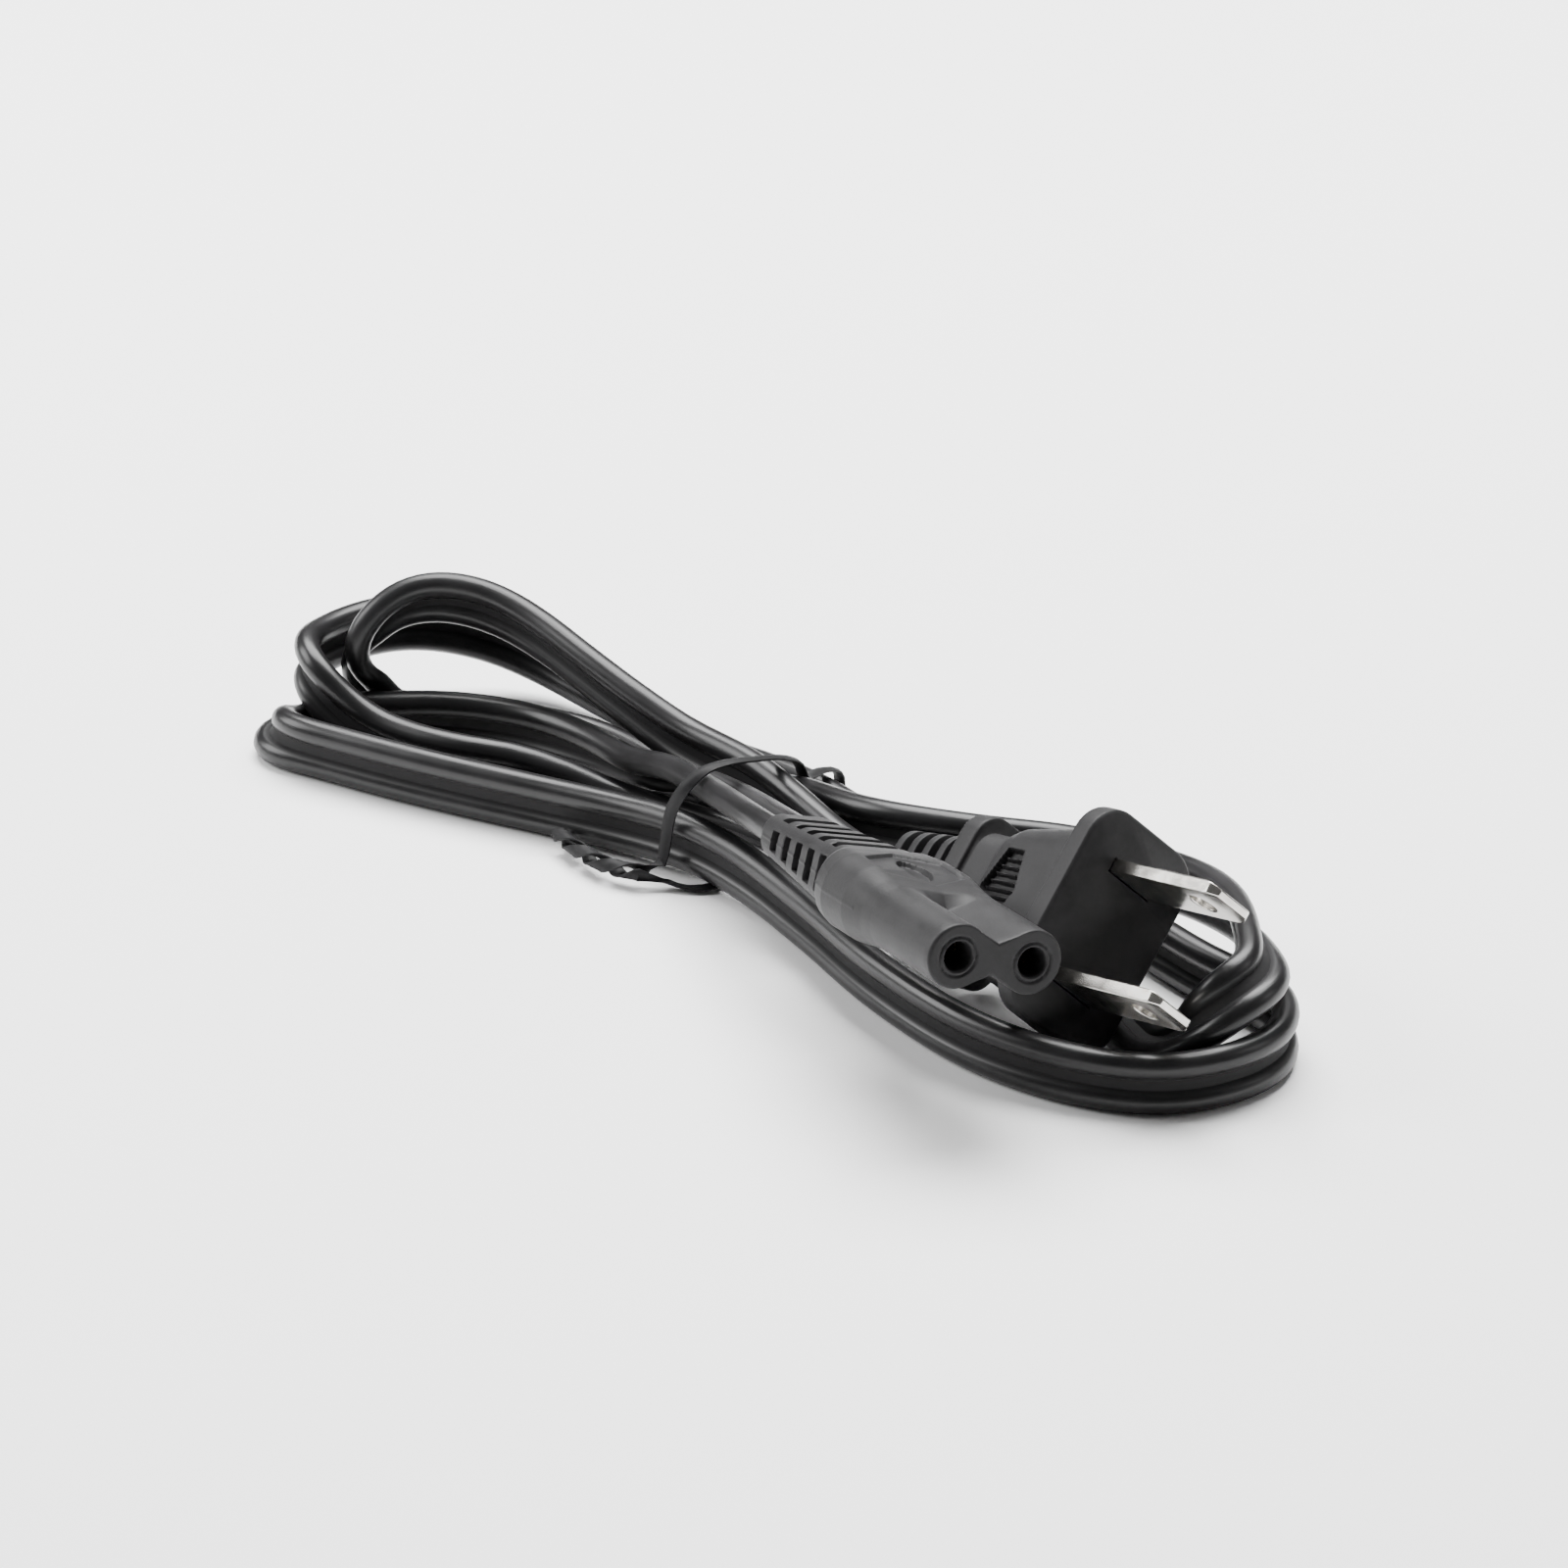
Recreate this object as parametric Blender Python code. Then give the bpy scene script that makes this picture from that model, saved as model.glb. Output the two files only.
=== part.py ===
"""Figure-eight power cord: a two-blade mains plug, a flat two-core cord and a two-hole
appliance connector, folded into a hank and held by a thin tie.

Units are metres, Z is up, the hank lies on z = 0.  Lengths below are written in
millimetres and scaled once by MM.
"""
import math

import bmesh
import bpy
import numpy as np
from mathutils import Matrix, Vector

MM = 0.001

# Middle of the hank's footprint in the layout the route and poses are written in
FOOTPRINT_X = 16.09
FOOTPRINT_Y = -28.55
TABLE_CLEARANCE = 0.0

# Clearance between two pieces that touch in the real object
FIT_GAP = 0.3
CORD_END_GAP = 0.5

# How far a cutter reaches past the surface it cuts, and past the middle of a body
CUT_PAST = 1.0
CUT_REACH = 9.0

# Flat two-core cord
CORD_THICKNESS = 2.9
CORD_CORE_SPACING = 3.8
CORD_WEB_THICKNESS = 1.2
CORD_LOBE_POINTS = 8

# Plug moulding, sizes along the blade pitch (LONG), across it (SHORT) and along the axis
PLUG_FACE_LONG = 23.6
PLUG_FACE_SHORT = 15.8
PLUG_FACE_CORNER = 4.0
PLUG_FACE_EDGE = 0.4
PLUG_FLANGE_DEPTH = 2.7
PLUG_BODY_LONG = 19.0
PLUG_BODY_SHORT = 12.8
PLUG_BODY_CORNER = 3.0
PLUG_BODY_END = 14.9
PLUG_TAPER_AT = 9.5
PLUG_TAPER_LONG = 16.9
PLUG_TAPER_SHORT = 12.4
PLUG_WAIST_LONG = 13.8
PLUG_WAIST_SHORT = 10.4
PLUG_WAIST_END = 18.8
PLUG_COLLAR_LONG = 17.0
PLUG_COLLAR_SHORT = 11.5
PLUG_COLLAR_END = 21.5
PLUG_RELIEF_LONG = 12.8
PLUG_RELIEF_SHORT = 7.2
PLUG_RELIEF_TIP_LONG = 11.6
PLUG_RELIEF_TIP_SHORT = 6.0
PLUG_RELIEF_CORNER = 2.5
PLUG_RELIEF_END = 33.5
PLUG_RELIEF_RIBS = 5
PLUG_RELIEF_GROOVE_DEPTH = 0.9
PLUG_RELIEF_GROOVE_SHARE = 0.45

# Grip panel sunk into both broad sides of the plug
GRIP_MIDDLE = 11.2
GRIP_HALF_LENGTH = 2.9
GRIP_HALF_WIDTH = 4.6
GRIP_CORNER = 1.6
GRIP_DEPTH = 0.8
GRIP_RIBS = 9
GRIP_RIB_WIDTH = 0.36
GRIP_RIB_HEIGHT = 0.6

# Blades
BLADE_PITCH = 12.7
BLADE_WIDTH = 6.35
BLADE_THICKNESS = 1.5
BLADE_LENGTH = 15.9
BLADE_ROOT = 5.6
BLADE_TIP_CHAMFER = 0.9
BLADE_HOLE_DIAMETER = 3.1
BLADE_HOLE_FROM_FACE = 11.7
BLADE_HOLE_POINTS = 20

# Connector moulding, sizes across the two holes (WIDE), square to that (HIGH) and along the axis
CONNECTOR_HOLE_PITCH = 8.6
CONNECTOR_LOBE_DIAMETER = 6.8
CONNECTOR_VALLEY_HALF_HEIGHT = 1.7
CONNECTOR_VALLEY_SLOPE = 0.45
CONNECTOR_FACE_EDGE = 0.35
CONNECTOR_VALLEY_END = 12.5
CONNECTOR_VALLEY_RAMP = 1.5
CONNECTOR_GRIP_START = 14.5
CONNECTOR_GRIP_FULL = 18.0
CONNECTOR_GRIP_END = 22.5
CONNECTOR_BODY_END = 26.3
CONNECTOR_GRIP_SCALE_WIDE = 1.05
CONNECTOR_GRIP_SCALE_HIGH = 1.20
CONNECTOR_SHOULDER_SCALE_WIDE = 0.97
CONNECTOR_SHOULDER_SCALE_HIGH = 1.15
CONNECTOR_SHOULDER_DEPTH = 1.3
CONNECTOR_END_SCALE_WIDE = 0.82
CONNECTOR_END_SCALE_HIGH = 1.05
CONNECTOR_RELIEF_WIDE = 10.6
CONNECTOR_RELIEF_HIGH = 7.2
CONNECTOR_RELIEF_TIP_WIDE = 8.4
CONNECTOR_RELIEF_TIP_HIGH = 4.6
CONNECTOR_RELIEF_CORNER = 2.0
CONNECTOR_LENGTH = 43.5
CONNECTOR_SLOTS = 5
CONNECTOR_SLOT_WIDTH = 1.2
CONNECTOR_SLOT_PITCH = 2.9
CONNECTOR_SLOT_START = 27.9
CONNECTOR_SLOT_DEPTH = 1.0
CONNECTOR_DISH_MIDDLE = 18.8
CONNECTOR_DISH_LENGTH = 6.5
CONNECTOR_DISH_WIDTH = 3.2
CONNECTOR_DISH_DEPTH = 0.7

# Bores of the connector and the contact sleeve sunk in each
BORE_DIAMETER = 3.0
BORE_DEPTH = 3.0
CHAMBER_DIAMETER = 3.9
CHAMBER_END = 13.0
SLEEVE_OUTER = 3.2
SLEEVE_INNER = 2.4
SLEEVE_START = 3.4
SLEEVE_END = 12.6
ROUND_POINTS = 24

# Tie strip
TIE_WIDTH = 1.5
TIE_THICKNESS = 0.6
TIE_TWIST_OFFSET = 0.62

# Where the plug lies: middle of its face and the way its axes point
PLUG_AT = (65.7, -31.35, 13.6)
PLUG_OUT = (0.953, -0.229, 0.200)
PLUG_DOWN = (-0.011, -0.732, -0.681)

# Where the connector lies: middle of its mating face and the way its axes point
CONNECTOR_AT = (68.2, -53.1, 19.8)
CONNECTOR_OUT = (0.903, -0.416, 0.106)
CONNECTOR_RIGHT = (0.429, 0.859, -0.280)

# Route of the cord's middle line from the connector to the plug: x, y, z and the lean
# of the flat side in degrees, 0 when the cord stands on edge and 90 when it lies flat
ROUTE = [
    (10.2, -23.6, 10.7, 69),
    (1.1, -19.1, 8.6, 57),
    (-7.1, -15.9, 5.6, 45),
    (-15.5, -13.2, 4.3, 20),
    (-24.0, -12.1, 3.6, 5),
    (-30.5, -13.4, 3.5, 0),
    (-36.0, -16.0, 3.5, 0),
    (-41.0, -18.9, 3.3, 15),
    (-46.0, -20.9, 2.9, 35),
    (-49.4, -23.2, 2.5, 62),
    (-50.0, -26.8, 2.5, 60),
    (-48.3, -29.7, 3.2, 25),
    (-44.6, -30.4, 3.4, 0),
    (-39.3, -29.9, 3.4, 0),
    (-33.1, -29.3, 3.4, 0),
    (-22.9, -27.8, 3.4, 0),
    (-13.1, -26.0, 3.4, 0),
    (-2.6, -24.9, 3.8, 0),
    (6.6, -25.2, 4.4, 0),
    (15.6, -26.8, 4.0, 0),
    (26.7, -30.8, 3.4, 0),
    (42.3, -38.0, 3.4, 0),
    (57.9, -42.6, 3.4, 0),
    (70.0, -42.4, 3.4, 0),
    (78.8, -38.6, 3.4, 0),
    (82.9, -32.0, 3.4, 0),
    (83.5, -25.4, 3.4, 0),
    (80.9, -20.1, 3.4, 0),
    (76.9, -16.9, 3.4, 0),
    (72.3, -16.2, 3.4, 0),
    (66.6, -15.2, 3.4, 0),
    (59.3, -12.9, 3.4, 0),
    (49.0, -10.2, 3.0, 25),
    (39.5, -8.5, 1.5, 88),
    (30.0, -7.8, 1.5, 90),
    (20.0, -7.3, 1.6, 90),
    (7.0, -4.3, 2.5, 90),
    (-7.0, -2.0, 2.6, 66),
    (-20.0, -0.9, 3.5, 20),
    (-34.9, 1.4, 5.0, 0),
    (-40.4, 0.0, 6.6, 0),
    (-44.7, -3.5, 8.2, 0),
    (-47.8, -6.6, 8.8, 0),
    (-49.8, -10.1, 9.0, 0),
    (-51.0, -14.5, 9.0, 0),
    (-50.8, -19.2, 9.1, 0),
    (-49.3, -23.0, 9.7, 0),
    (-46.6, -25.2, 9.1, 0),
    (-42.8, -25.2, 6.2, 0),
    (-38.6, -24.6, 4.2, 0),
    (-33.6, -24.2, 3.5, 0),
    (-27.0, -23.2, 3.4, 0),
    (-19.0, -21.0, 2.9, 35),
    (-10.0, -19.2, 2.0, 75),
    (0.0, -18.3, 2.2, 90),
    (7.0, -18.5, 2.5, 90),
    (14.0, -18.7, 2.1, 90),
    (23.0, -16.9, 1.5, 90),
    (34.0, -15.2, 1.5, 90),
    (46.0, -17.0, 1.5, 90),
    (55.0, -21.0, 1.5, 90),
    (63.0, -25.2, 1.5, 90),
    (69.6, -29.3, 1.6, 85),
    (74.4, -31.4, 3.8, 60),
    (78.0, -31.2, 7.2, 48),
    (80.4, -29.2, 10.2, 52),
    (80.9, -24.7, 11.0, 55),
    (76.3, -19.1, 11.0, 35),
    (69.8, -13.4, 10.2, 12),
    (63.1, -9.5, 9.0, 0),
    (56.6, -7.4, 8.0, 0),
    (44.9, -7.0, 7.1, 0),
    (34.9, -10.9, 7.0, 0),
    (24.8, -13.9, 6.8, 0),
    (18.3, -13.2, 5.9, 0),
    (10.0, -10.9, 4.5, 0),
    (1.0, -9.9, 2.7, 78),
    (-6.0, -9.1, 1.9, 90),
    (-14.0, -8.1, 1.5, 90),
    (-21.5, -6.5, 1.5, 90),
    (-28.5, -7.2, 1.5, 90),
    (-34.5, -9.3, 1.5, 90),
    (-40.0, -12.0, 1.7, 80),
    (-44.0, -14.8, 3.0, 65),
    (-45.7, -17.6, 6.6, 60),
    (-45.2, -18.5, 10.3, -55),
    (-44.0, -17.5, 13.4, -45),
    (-42.0, -14.8, 15.5, -30),
    (-38.3, -12.5, 16.5, -20),
    (-32.9, -10.5, 16.0, -15),
    (-26.2, -10.2, 14.5, -15),
    (-18.3, -11.3, 12.5, -15),
    (-10.7, -12.2, 10.4, -12),
    (-3.8, -12.7, 8.5, -5),
    (7.0, -14.6, 7.9, 5),
    (15.0, -17.4, 7.0, 15),
    (22.0, -20.3, 6.2, 30),
]
# Straight lead out of each strain relief, and the lean of the flat side there
CORD_LEAD = 3.5
CONNECTOR_LEAN = 74
PLUG_LEAN = 47

# How the route is smoothed and how closely its rings are set
ROUTE_STEP = 1.0
ROUTE_RELAX_COUNT = 8
LEAN_RELAX_COUNT = 6
STEEP_LIMIT = 0.6
RING_EVERY = 6.5
RING_TURN = 0.34

# Tie: one end of the twist, round the bundle, and back to the other end of the twist
TIE_LOOP = [
    (5.6, -28.3, 2.9),
    (5.7, -27.75, 5.2),
    (6.0, -27.7, 7.3),
    (6.6, -27.9, 9.0),
    (7.6, -28.1, 10.8),
    (8.7, -27.7, 12.6),
    (9.6, -26.0, 13.9),
    (10.4, -23.2, 14.0),
    (11.1, -19.6, 13.3),
    (11.4, -16.0, 12.3),
    (10.9, -12.4, 10.6),
    (10.0, -10.0, 8.7),
    (9.2, -8.3, 6.6),
    (8.3, -6.2, 5.6),
    (7.6, -2.8, 4.9),
    (7.4, 0.1, 3.5),
    (7.4, 0.3, 1.4),
    (7.6, -1.6, 0.5),
    (8.4, -8.0, 0.42),
    (9.4, -16.0, 0.40),
    (10.6, -23.0, 0.42),
    (10.2, -26.4, 0.45),
    (8.4, -27.9, 0.5),
    (6.6, -28.5, 0.85),
]
TIE_TWIST_LINE = [
    (4.2, -30.2, 1.85),
    (0.8, -30.9, 1.82),
    (-3.6, -30.2, 1.82),
    (-8.8, -28.2, 1.9),
]
TIE_TWIST_TURNS = 1.5
TIE_TWIST_STEPS = 18
TIE_TWIST_STEP = 0.25


def material(name, colour, metallic, roughness):
    mat = bpy.data.materials.new(name)
    mat.use_nodes = True
    shader = mat.node_tree.nodes["Principled BSDF"]
    shader.inputs["Base Color"].default_value = (*colour, 1.0)
    shader.inputs["Metallic"].default_value = metallic
    shader.inputs["Roughness"].default_value = roughness
    return mat


def add_object(name, mesh, mat, smooth_angle=35.0):
    mesh.materials.clear()
    mesh.materials.append(mat)
    for face in mesh.polygons:
        face.use_smooth = True
    mesh.set_sharp_from_angle(angle=math.radians(smooth_angle))
    obj = bpy.data.objects.new(name, mesh)
    bpy.context.scene.collection.objects.link(obj)
    return obj


def mesh_from(name, verts, faces):
    mesh = bpy.data.meshes.new(name)
    mesh.from_pydata([tuple(v) for v in verts], [], faces)
    mesh.validate()
    bm = bmesh.new()
    bm.from_mesh(mesh)
    bmesh.ops.recalc_face_normals(bm, faces=bm.faces)
    bm.to_mesh(mesh)
    bm.free()
    return mesh


def loft(name, rings):
    """Closed body through a row of rings that all have the same number of points."""
    count = len(rings[0])
    verts = [point for ring in rings for point in ring]
    faces = [tuple(range(count))]
    for row in range(len(rings) - 1):
        for k in range(count):
            nxt = (k + 1) % count
            base = row * count
            faces.append((base + k, base + nxt, base + count + nxt, base + count + k))
    last = (len(rings) - 1) * count
    faces.append(tuple(last + k for k in reversed(range(count))))
    return mesh_from(name, verts, faces)


def box(name, low, high):
    corners = [(x, y, z) for x in (low[0], high[0]) for y in (low[1], high[1]) for z in (low[2], high[2])]
    faces = [(0, 1, 3, 2), (4, 6, 7, 5), (0, 4, 5, 1), (2, 3, 7, 6), (0, 2, 6, 4), (1, 5, 7, 3)]
    return mesh_from(name, corners, faces)


def prism(name, outline, axis, low, high):
    """Outline of (p, q) points pushed along one axis; p and q are the other two in order."""
    rings = []
    for level in (low, high):
        ring = []
        for p, q in outline:
            point = [p, q]
            point.insert(axis, level)
            ring.append(tuple(point))
        rings.append(ring)
    return loft(name, rings)


def circle(radius, count, cx=0.0, cy=0.0):
    ring = []
    for k in range(count):
        angle = 2.0 * math.pi * k / count
        ring.append((cx + radius * math.cos(angle), cy + radius * math.sin(angle)))
    return ring


def rounded_rectangle(length, width, corner, per_corner=6):
    """Points of a rounded rectangle, length along the first axis."""
    ring = []
    hx = length / 2 - corner
    hy = width / 2 - corner
    for sx, sy, start in ((1, 1, 0), (-1, 1, 90), (-1, -1, 180), (1, -1, 270)):
        for k in range(per_corner):
            angle = math.radians(start + 90.0 * k / (per_corner - 1))
            ring.append((sx * hx + corner * math.cos(angle), sy * hy + corner * math.sin(angle)))
    return ring


def combine(target, other, operation):
    """Boolean of two meshes, given back as a new mesh."""
    first = bpy.data.objects.new("first", target)
    second = bpy.data.objects.new("second", other)
    for obj in (first, second):
        bpy.context.scene.collection.objects.link(obj)
    step = first.modifiers.new("step", "BOOLEAN")
    step.operation = operation
    step.solver = "EXACT"
    step.object = second
    graph = bpy.context.evaluated_depsgraph_get()
    result = bpy.data.meshes.new_from_object(first.evaluated_get(graph))
    bpy.data.objects.remove(first)
    bpy.data.objects.remove(second)
    return result


def pose(at, out_dir, second_dir):
    """Matrix of a frame with its X along out_dir and its Y near second_dir, in metres."""
    x_axis = Vector(out_dir).normalized()
    y_axis = Vector(second_dir)
    y_axis = (y_axis - x_axis * y_axis.dot(x_axis)).normalized()
    z_axis = x_axis.cross(y_axis)
    rows = Matrix((x_axis, y_axis, z_axis)).transposed().to_4x4()
    middle = Vector((at[0] - FOOTPRINT_X, at[1] - FOOTPRINT_Y, at[2]))
    return Matrix.Scale(MM, 4) @ Matrix.Translation(middle) @ rows


def through_stations(stations, step):
    """Smooth line through the stations, read at equal steps."""
    rows = np.array(stations, float)
    rows = np.vstack([2 * rows[0] - rows[1], rows, 2 * rows[-1] - rows[-2]])
    dense = []
    for i in range(1, len(rows) - 2):
        p0, p1, p2, p3 = rows[i - 1:i + 3]
        d1, d2, d3 = [math.sqrt(np.linalg.norm((b - a)[:3])) for a, b in ((p0, p1), (p1, p2), (p2, p3))]
        t1 = d1
        t2 = d1 + d2
        t3 = t2 + d3
        count = max(4, int(d2 * d2 / 0.5))
        for k in range(count):
            t = t1 + d2 * k / count
            a1 = (p0 * (t1 - t) + p1 * t) / t1
            a2 = (p1 * (t2 - t) + p2 * (t - t1)) / d2
            a3 = (p2 * (t3 - t) + p3 * (t - t2)) / d3
            b1 = (a1 * (t2 - t) + a2 * t) / t2
            b2 = (a2 * (t3 - t) + a3 * (t - t1)) / (t3 - t1)
            dense.append((b1 * (t2 - t) + b2 * (t - t1)) / d2)
    dense.append(rows[-2])
    dense = np.array(dense)
    along = np.r_[0.0, np.cumsum(np.linalg.norm(np.diff(dense[:, :3], axis=0), axis=1))]
    count = int(along[-1] / step) + 1
    places = np.linspace(0.0, along[-1], count)
    return np.array([np.interp(places, along, dense[:, k]) for k in range(dense.shape[1])]).T


def relax(rows, count):
    rows = rows.copy()
    for _ in range(count):
        rows[1:-1] = 0.25 * rows[:-2] + 0.5 * rows[1:-1] + 0.25 * rows[2:]
    return rows


def tangents(points):
    t = np.gradient(points, axis=0)
    return t / np.linalg.norm(t, axis=1)[:, None]


def square_to(vectors, t):
    vectors = vectors - (vectors * t).sum(axis=1)[:, None] * t
    return vectors / np.linalg.norm(vectors, axis=1)[:, None]


def lean_directions(points, lean):
    """Direction across the flat cord at every point; steep stretches are bridged."""
    t = tangents(points)
    side = np.cross((0.0, 0.0, 1.0), t)
    level = np.linalg.norm(side, axis=1)
    side = side / np.maximum(level, 1e-6)[:, None]
    up = np.cross(t, side)
    angle = np.radians(lean)[:, None]
    wide = np.cos(angle) * up + np.sin(angle) * side
    good = np.flatnonzero(level > STEEP_LIMIT)
    every = np.arange(len(points))
    wide = np.array([np.interp(every, good, wide[good, k]) for k in range(3)]).T
    wide = relax(wide, LEAN_RELAX_COUNT)
    return square_to(wide, t)


def pick_rings(points, every, turn):
    """Indices of the rings: closer together where the line bends."""
    t = tangents(points)
    bend = np.arccos(np.clip((t[1:] * t[:-1]).sum(axis=1), -1.0, 1.0))
    length = np.linalg.norm(np.diff(points, axis=0), axis=1)
    need = np.r_[0.0, np.cumsum(length / every + bend / turn)]
    count = int(need[-1]) + 1
    marks = np.linspace(0.0, need[-1], count + 1)
    picked = [int(np.argmin(np.abs(need - mark))) for mark in marks]
    return sorted(set(picked))


def sweep(name, points, wide, outline):
    """Outline of (across, through) points carried along the line."""
    t = tangents(points)
    wide = square_to(wide, t)
    thin = np.cross(t, wide)
    rings = []
    for p, w, n in zip(points, wide, thin):
        rings.append([tuple((p + a * w + b * n) * MM) for a, b in outline])
    return loft(name, rings)


def cord_outline():
    """Two round cores side by side with a thin web between them."""
    radius = CORD_THICKNESS / 2
    offset = CORD_CORE_SPACING / 2
    open_angle = math.asin(CORD_WEB_THICKNESS / 2 / radius)
    ring = []
    for side in (1, -1):
        for k in range(CORD_LOBE_POINTS):
            share = k / (CORD_LOBE_POINTS - 1)
            angle = -math.pi + open_angle + share * (2 * math.pi - 2 * open_angle)
            ring.append((side * (offset + radius * math.cos(angle)), side * radius * math.sin(angle)))
    return ring


def local_to_layout(at, out_dir, second_dir, local):
    place = pose(at, out_dir, second_dir) @ Vector(local)
    return np.array(place) / MM


def cord_line():
    """Middle line of the cord and its width direction, in millimetres about the footprint."""
    stations = []
    for lead in (0.0, CORD_LEAD):
        back = -CONNECTOR_LENGTH - CORD_END_GAP - lead
        place = local_to_layout(CONNECTOR_AT, CONNECTOR_OUT, CONNECTOR_RIGHT, (back, 0, 0))
        stations.append((*place, CONNECTOR_LEAN))
    stations += [(x - FOOTPRINT_X, y - FOOTPRINT_Y, z, lean) for x, y, z, lean in ROUTE]
    for lead in (CORD_LEAD, 0.0):
        back = -PLUG_RELIEF_END - CORD_END_GAP - lead
        place = local_to_layout(PLUG_AT, PLUG_OUT, PLUG_DOWN, (back, 0, 0))
        stations.append((*place, PLUG_LEAN))
    rows = relax(through_stations(stations, ROUTE_STEP), ROUTE_RELAX_COUNT)
    points = rows[:, :3]
    wide = lean_directions(points, rows[:, 3])
    half_height = CORD_CORE_SPACING / 2 * np.abs(wide[:, 2]) + CORD_THICKNESS / 2
    points[:, 2] = np.maximum(points[:, 2], half_height + TABLE_CLEARANCE)
    return points, wide


def make_cord(mat):
    points, wide = cord_line()
    picked = pick_rings(points, RING_EVERY, RING_TURN)
    mesh = sweep("cord", points[picked], wide[picked], cord_outline())
    return add_object("cord", mesh, mat, 50.0)


def make_tie(mat):
    """One strip: along the twist, round the bundle and back along the twist."""
    line = through_stations(TIE_TWIST_LINE, TIE_TWIST_STEP)
    marks = np.linspace(0, len(line) - 1, TIE_TWIST_STEPS + 1).astype(int)
    line = line[marks]
    t = tangents(line)
    level = square_to(np.tile((0.0, 0.0, 1.0), (len(t), 1)), t)
    other = np.cross(t, level)
    phase = np.linspace(0, 2 * math.pi * TIE_TWIST_TURNS, len(t))[:, None]
    radial = np.cos(phase) * other + np.sin(phase) * level
    flat = -np.sin(phase) * other + np.cos(phase) * level
    near = line + TIE_TWIST_OFFSET * radial
    far = line - TIE_TWIST_OFFSET * radial
    loop = through_stations(TIE_LOOP, 1.0)
    loop = loop[::2]
    along_x = np.tile((1.0, 0.0, 0.0), (len(loop), 1))
    points = np.vstack([near[::-1], loop, far])
    wide = np.vstack([flat[::-1], along_x, -flat])
    points = points - np.array((FOOTPRINT_X, FOOTPRINT_Y, 0.0))
    half_w = TIE_WIDTH / 2
    half_t = TIE_THICKNESS / 2
    outline = [(half_w, -half_t), (half_w, half_t), (-half_w, half_t), (-half_w, -half_t)]
    mesh = sweep("wire_tie", points, wide, outline)
    return add_object("wire_tie", mesh, mat, 50.0)


def plug_rings():
    """Rings of the plug moulding from the tip of the strain relief to the face."""
    def ring(back, long, short, corner):
        return [(-back, p, q) for p, q in rounded_rectangle(long, short, corner)]

    rings = []
    relief_length = PLUG_RELIEF_END - PLUG_COLLAR_END
    rib = relief_length / PLUG_RELIEF_RIBS
    groove = rib * PLUG_RELIEF_GROOVE_SHARE
    for k in range(PLUG_RELIEF_RIBS):
        start = PLUG_RELIEF_END - k * rib
        for back, inset in ((start, 0.0), (start - rib + groove, 0.0),
                            (start - rib + groove - 0.15, PLUG_RELIEF_GROOVE_DEPTH),
                            (start - rib + 0.15, PLUG_RELIEF_GROOVE_DEPTH)):
            share = (PLUG_RELIEF_END - back) / relief_length
            long = PLUG_RELIEF_TIP_LONG + share * (PLUG_RELIEF_LONG - PLUG_RELIEF_TIP_LONG)
            short = PLUG_RELIEF_TIP_SHORT + share * (PLUG_RELIEF_SHORT - PLUG_RELIEF_TIP_SHORT)
            rings.append(ring(back, long - 2 * inset, short - 2 * inset, PLUG_RELIEF_CORNER - inset / 2))
    collar = (PLUG_COLLAR_LONG, PLUG_COLLAR_SHORT)
    rings.append(ring(PLUG_COLLAR_END, collar[0] - 0.8, collar[1] - 0.8, PLUG_BODY_CORNER - 0.4))
    rings.append(ring(PLUG_COLLAR_END - 0.4, *collar, PLUG_BODY_CORNER))
    rings.append(ring(PLUG_WAIST_END + 0.4, *collar, PLUG_BODY_CORNER))
    rings.append(ring(PLUG_WAIST_END, collar[0] - 0.8, collar[1] - 0.8, PLUG_BODY_CORNER - 0.4))
    rings.append(ring(PLUG_WAIST_END - 0.2, PLUG_WAIST_LONG, PLUG_WAIST_SHORT, PLUG_BODY_CORNER))
    rings.append(ring(PLUG_BODY_END, PLUG_WAIST_LONG, PLUG_WAIST_SHORT, PLUG_BODY_CORNER))
    rings.append(ring(PLUG_TAPER_AT + 3.0, PLUG_TAPER_LONG - 0.9, PLUG_TAPER_SHORT - 0.2, PLUG_BODY_CORNER))
    rings.append(ring(PLUG_TAPER_AT, PLUG_TAPER_LONG, PLUG_TAPER_SHORT, PLUG_BODY_CORNER))
    rings.append(ring(PLUG_FLANGE_DEPTH + 0.2, PLUG_BODY_LONG, PLUG_BODY_SHORT, PLUG_BODY_CORNER))
    face = (PLUG_FACE_LONG, PLUG_FACE_SHORT)
    edge = PLUG_FACE_EDGE
    rings.append(ring(PLUG_FLANGE_DEPTH, face[0] - edge, face[1] - edge, PLUG_FACE_CORNER))
    rings.append(ring(PLUG_FLANGE_DEPTH - 0.3, *face, PLUG_FACE_CORNER))
    rings.append(ring(edge, *face, PLUG_FACE_CORNER))
    rings.append(ring(0.0, face[0] - 2 * edge, face[1] - 2 * edge, PLUG_FACE_CORNER - edge))
    return rings


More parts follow.
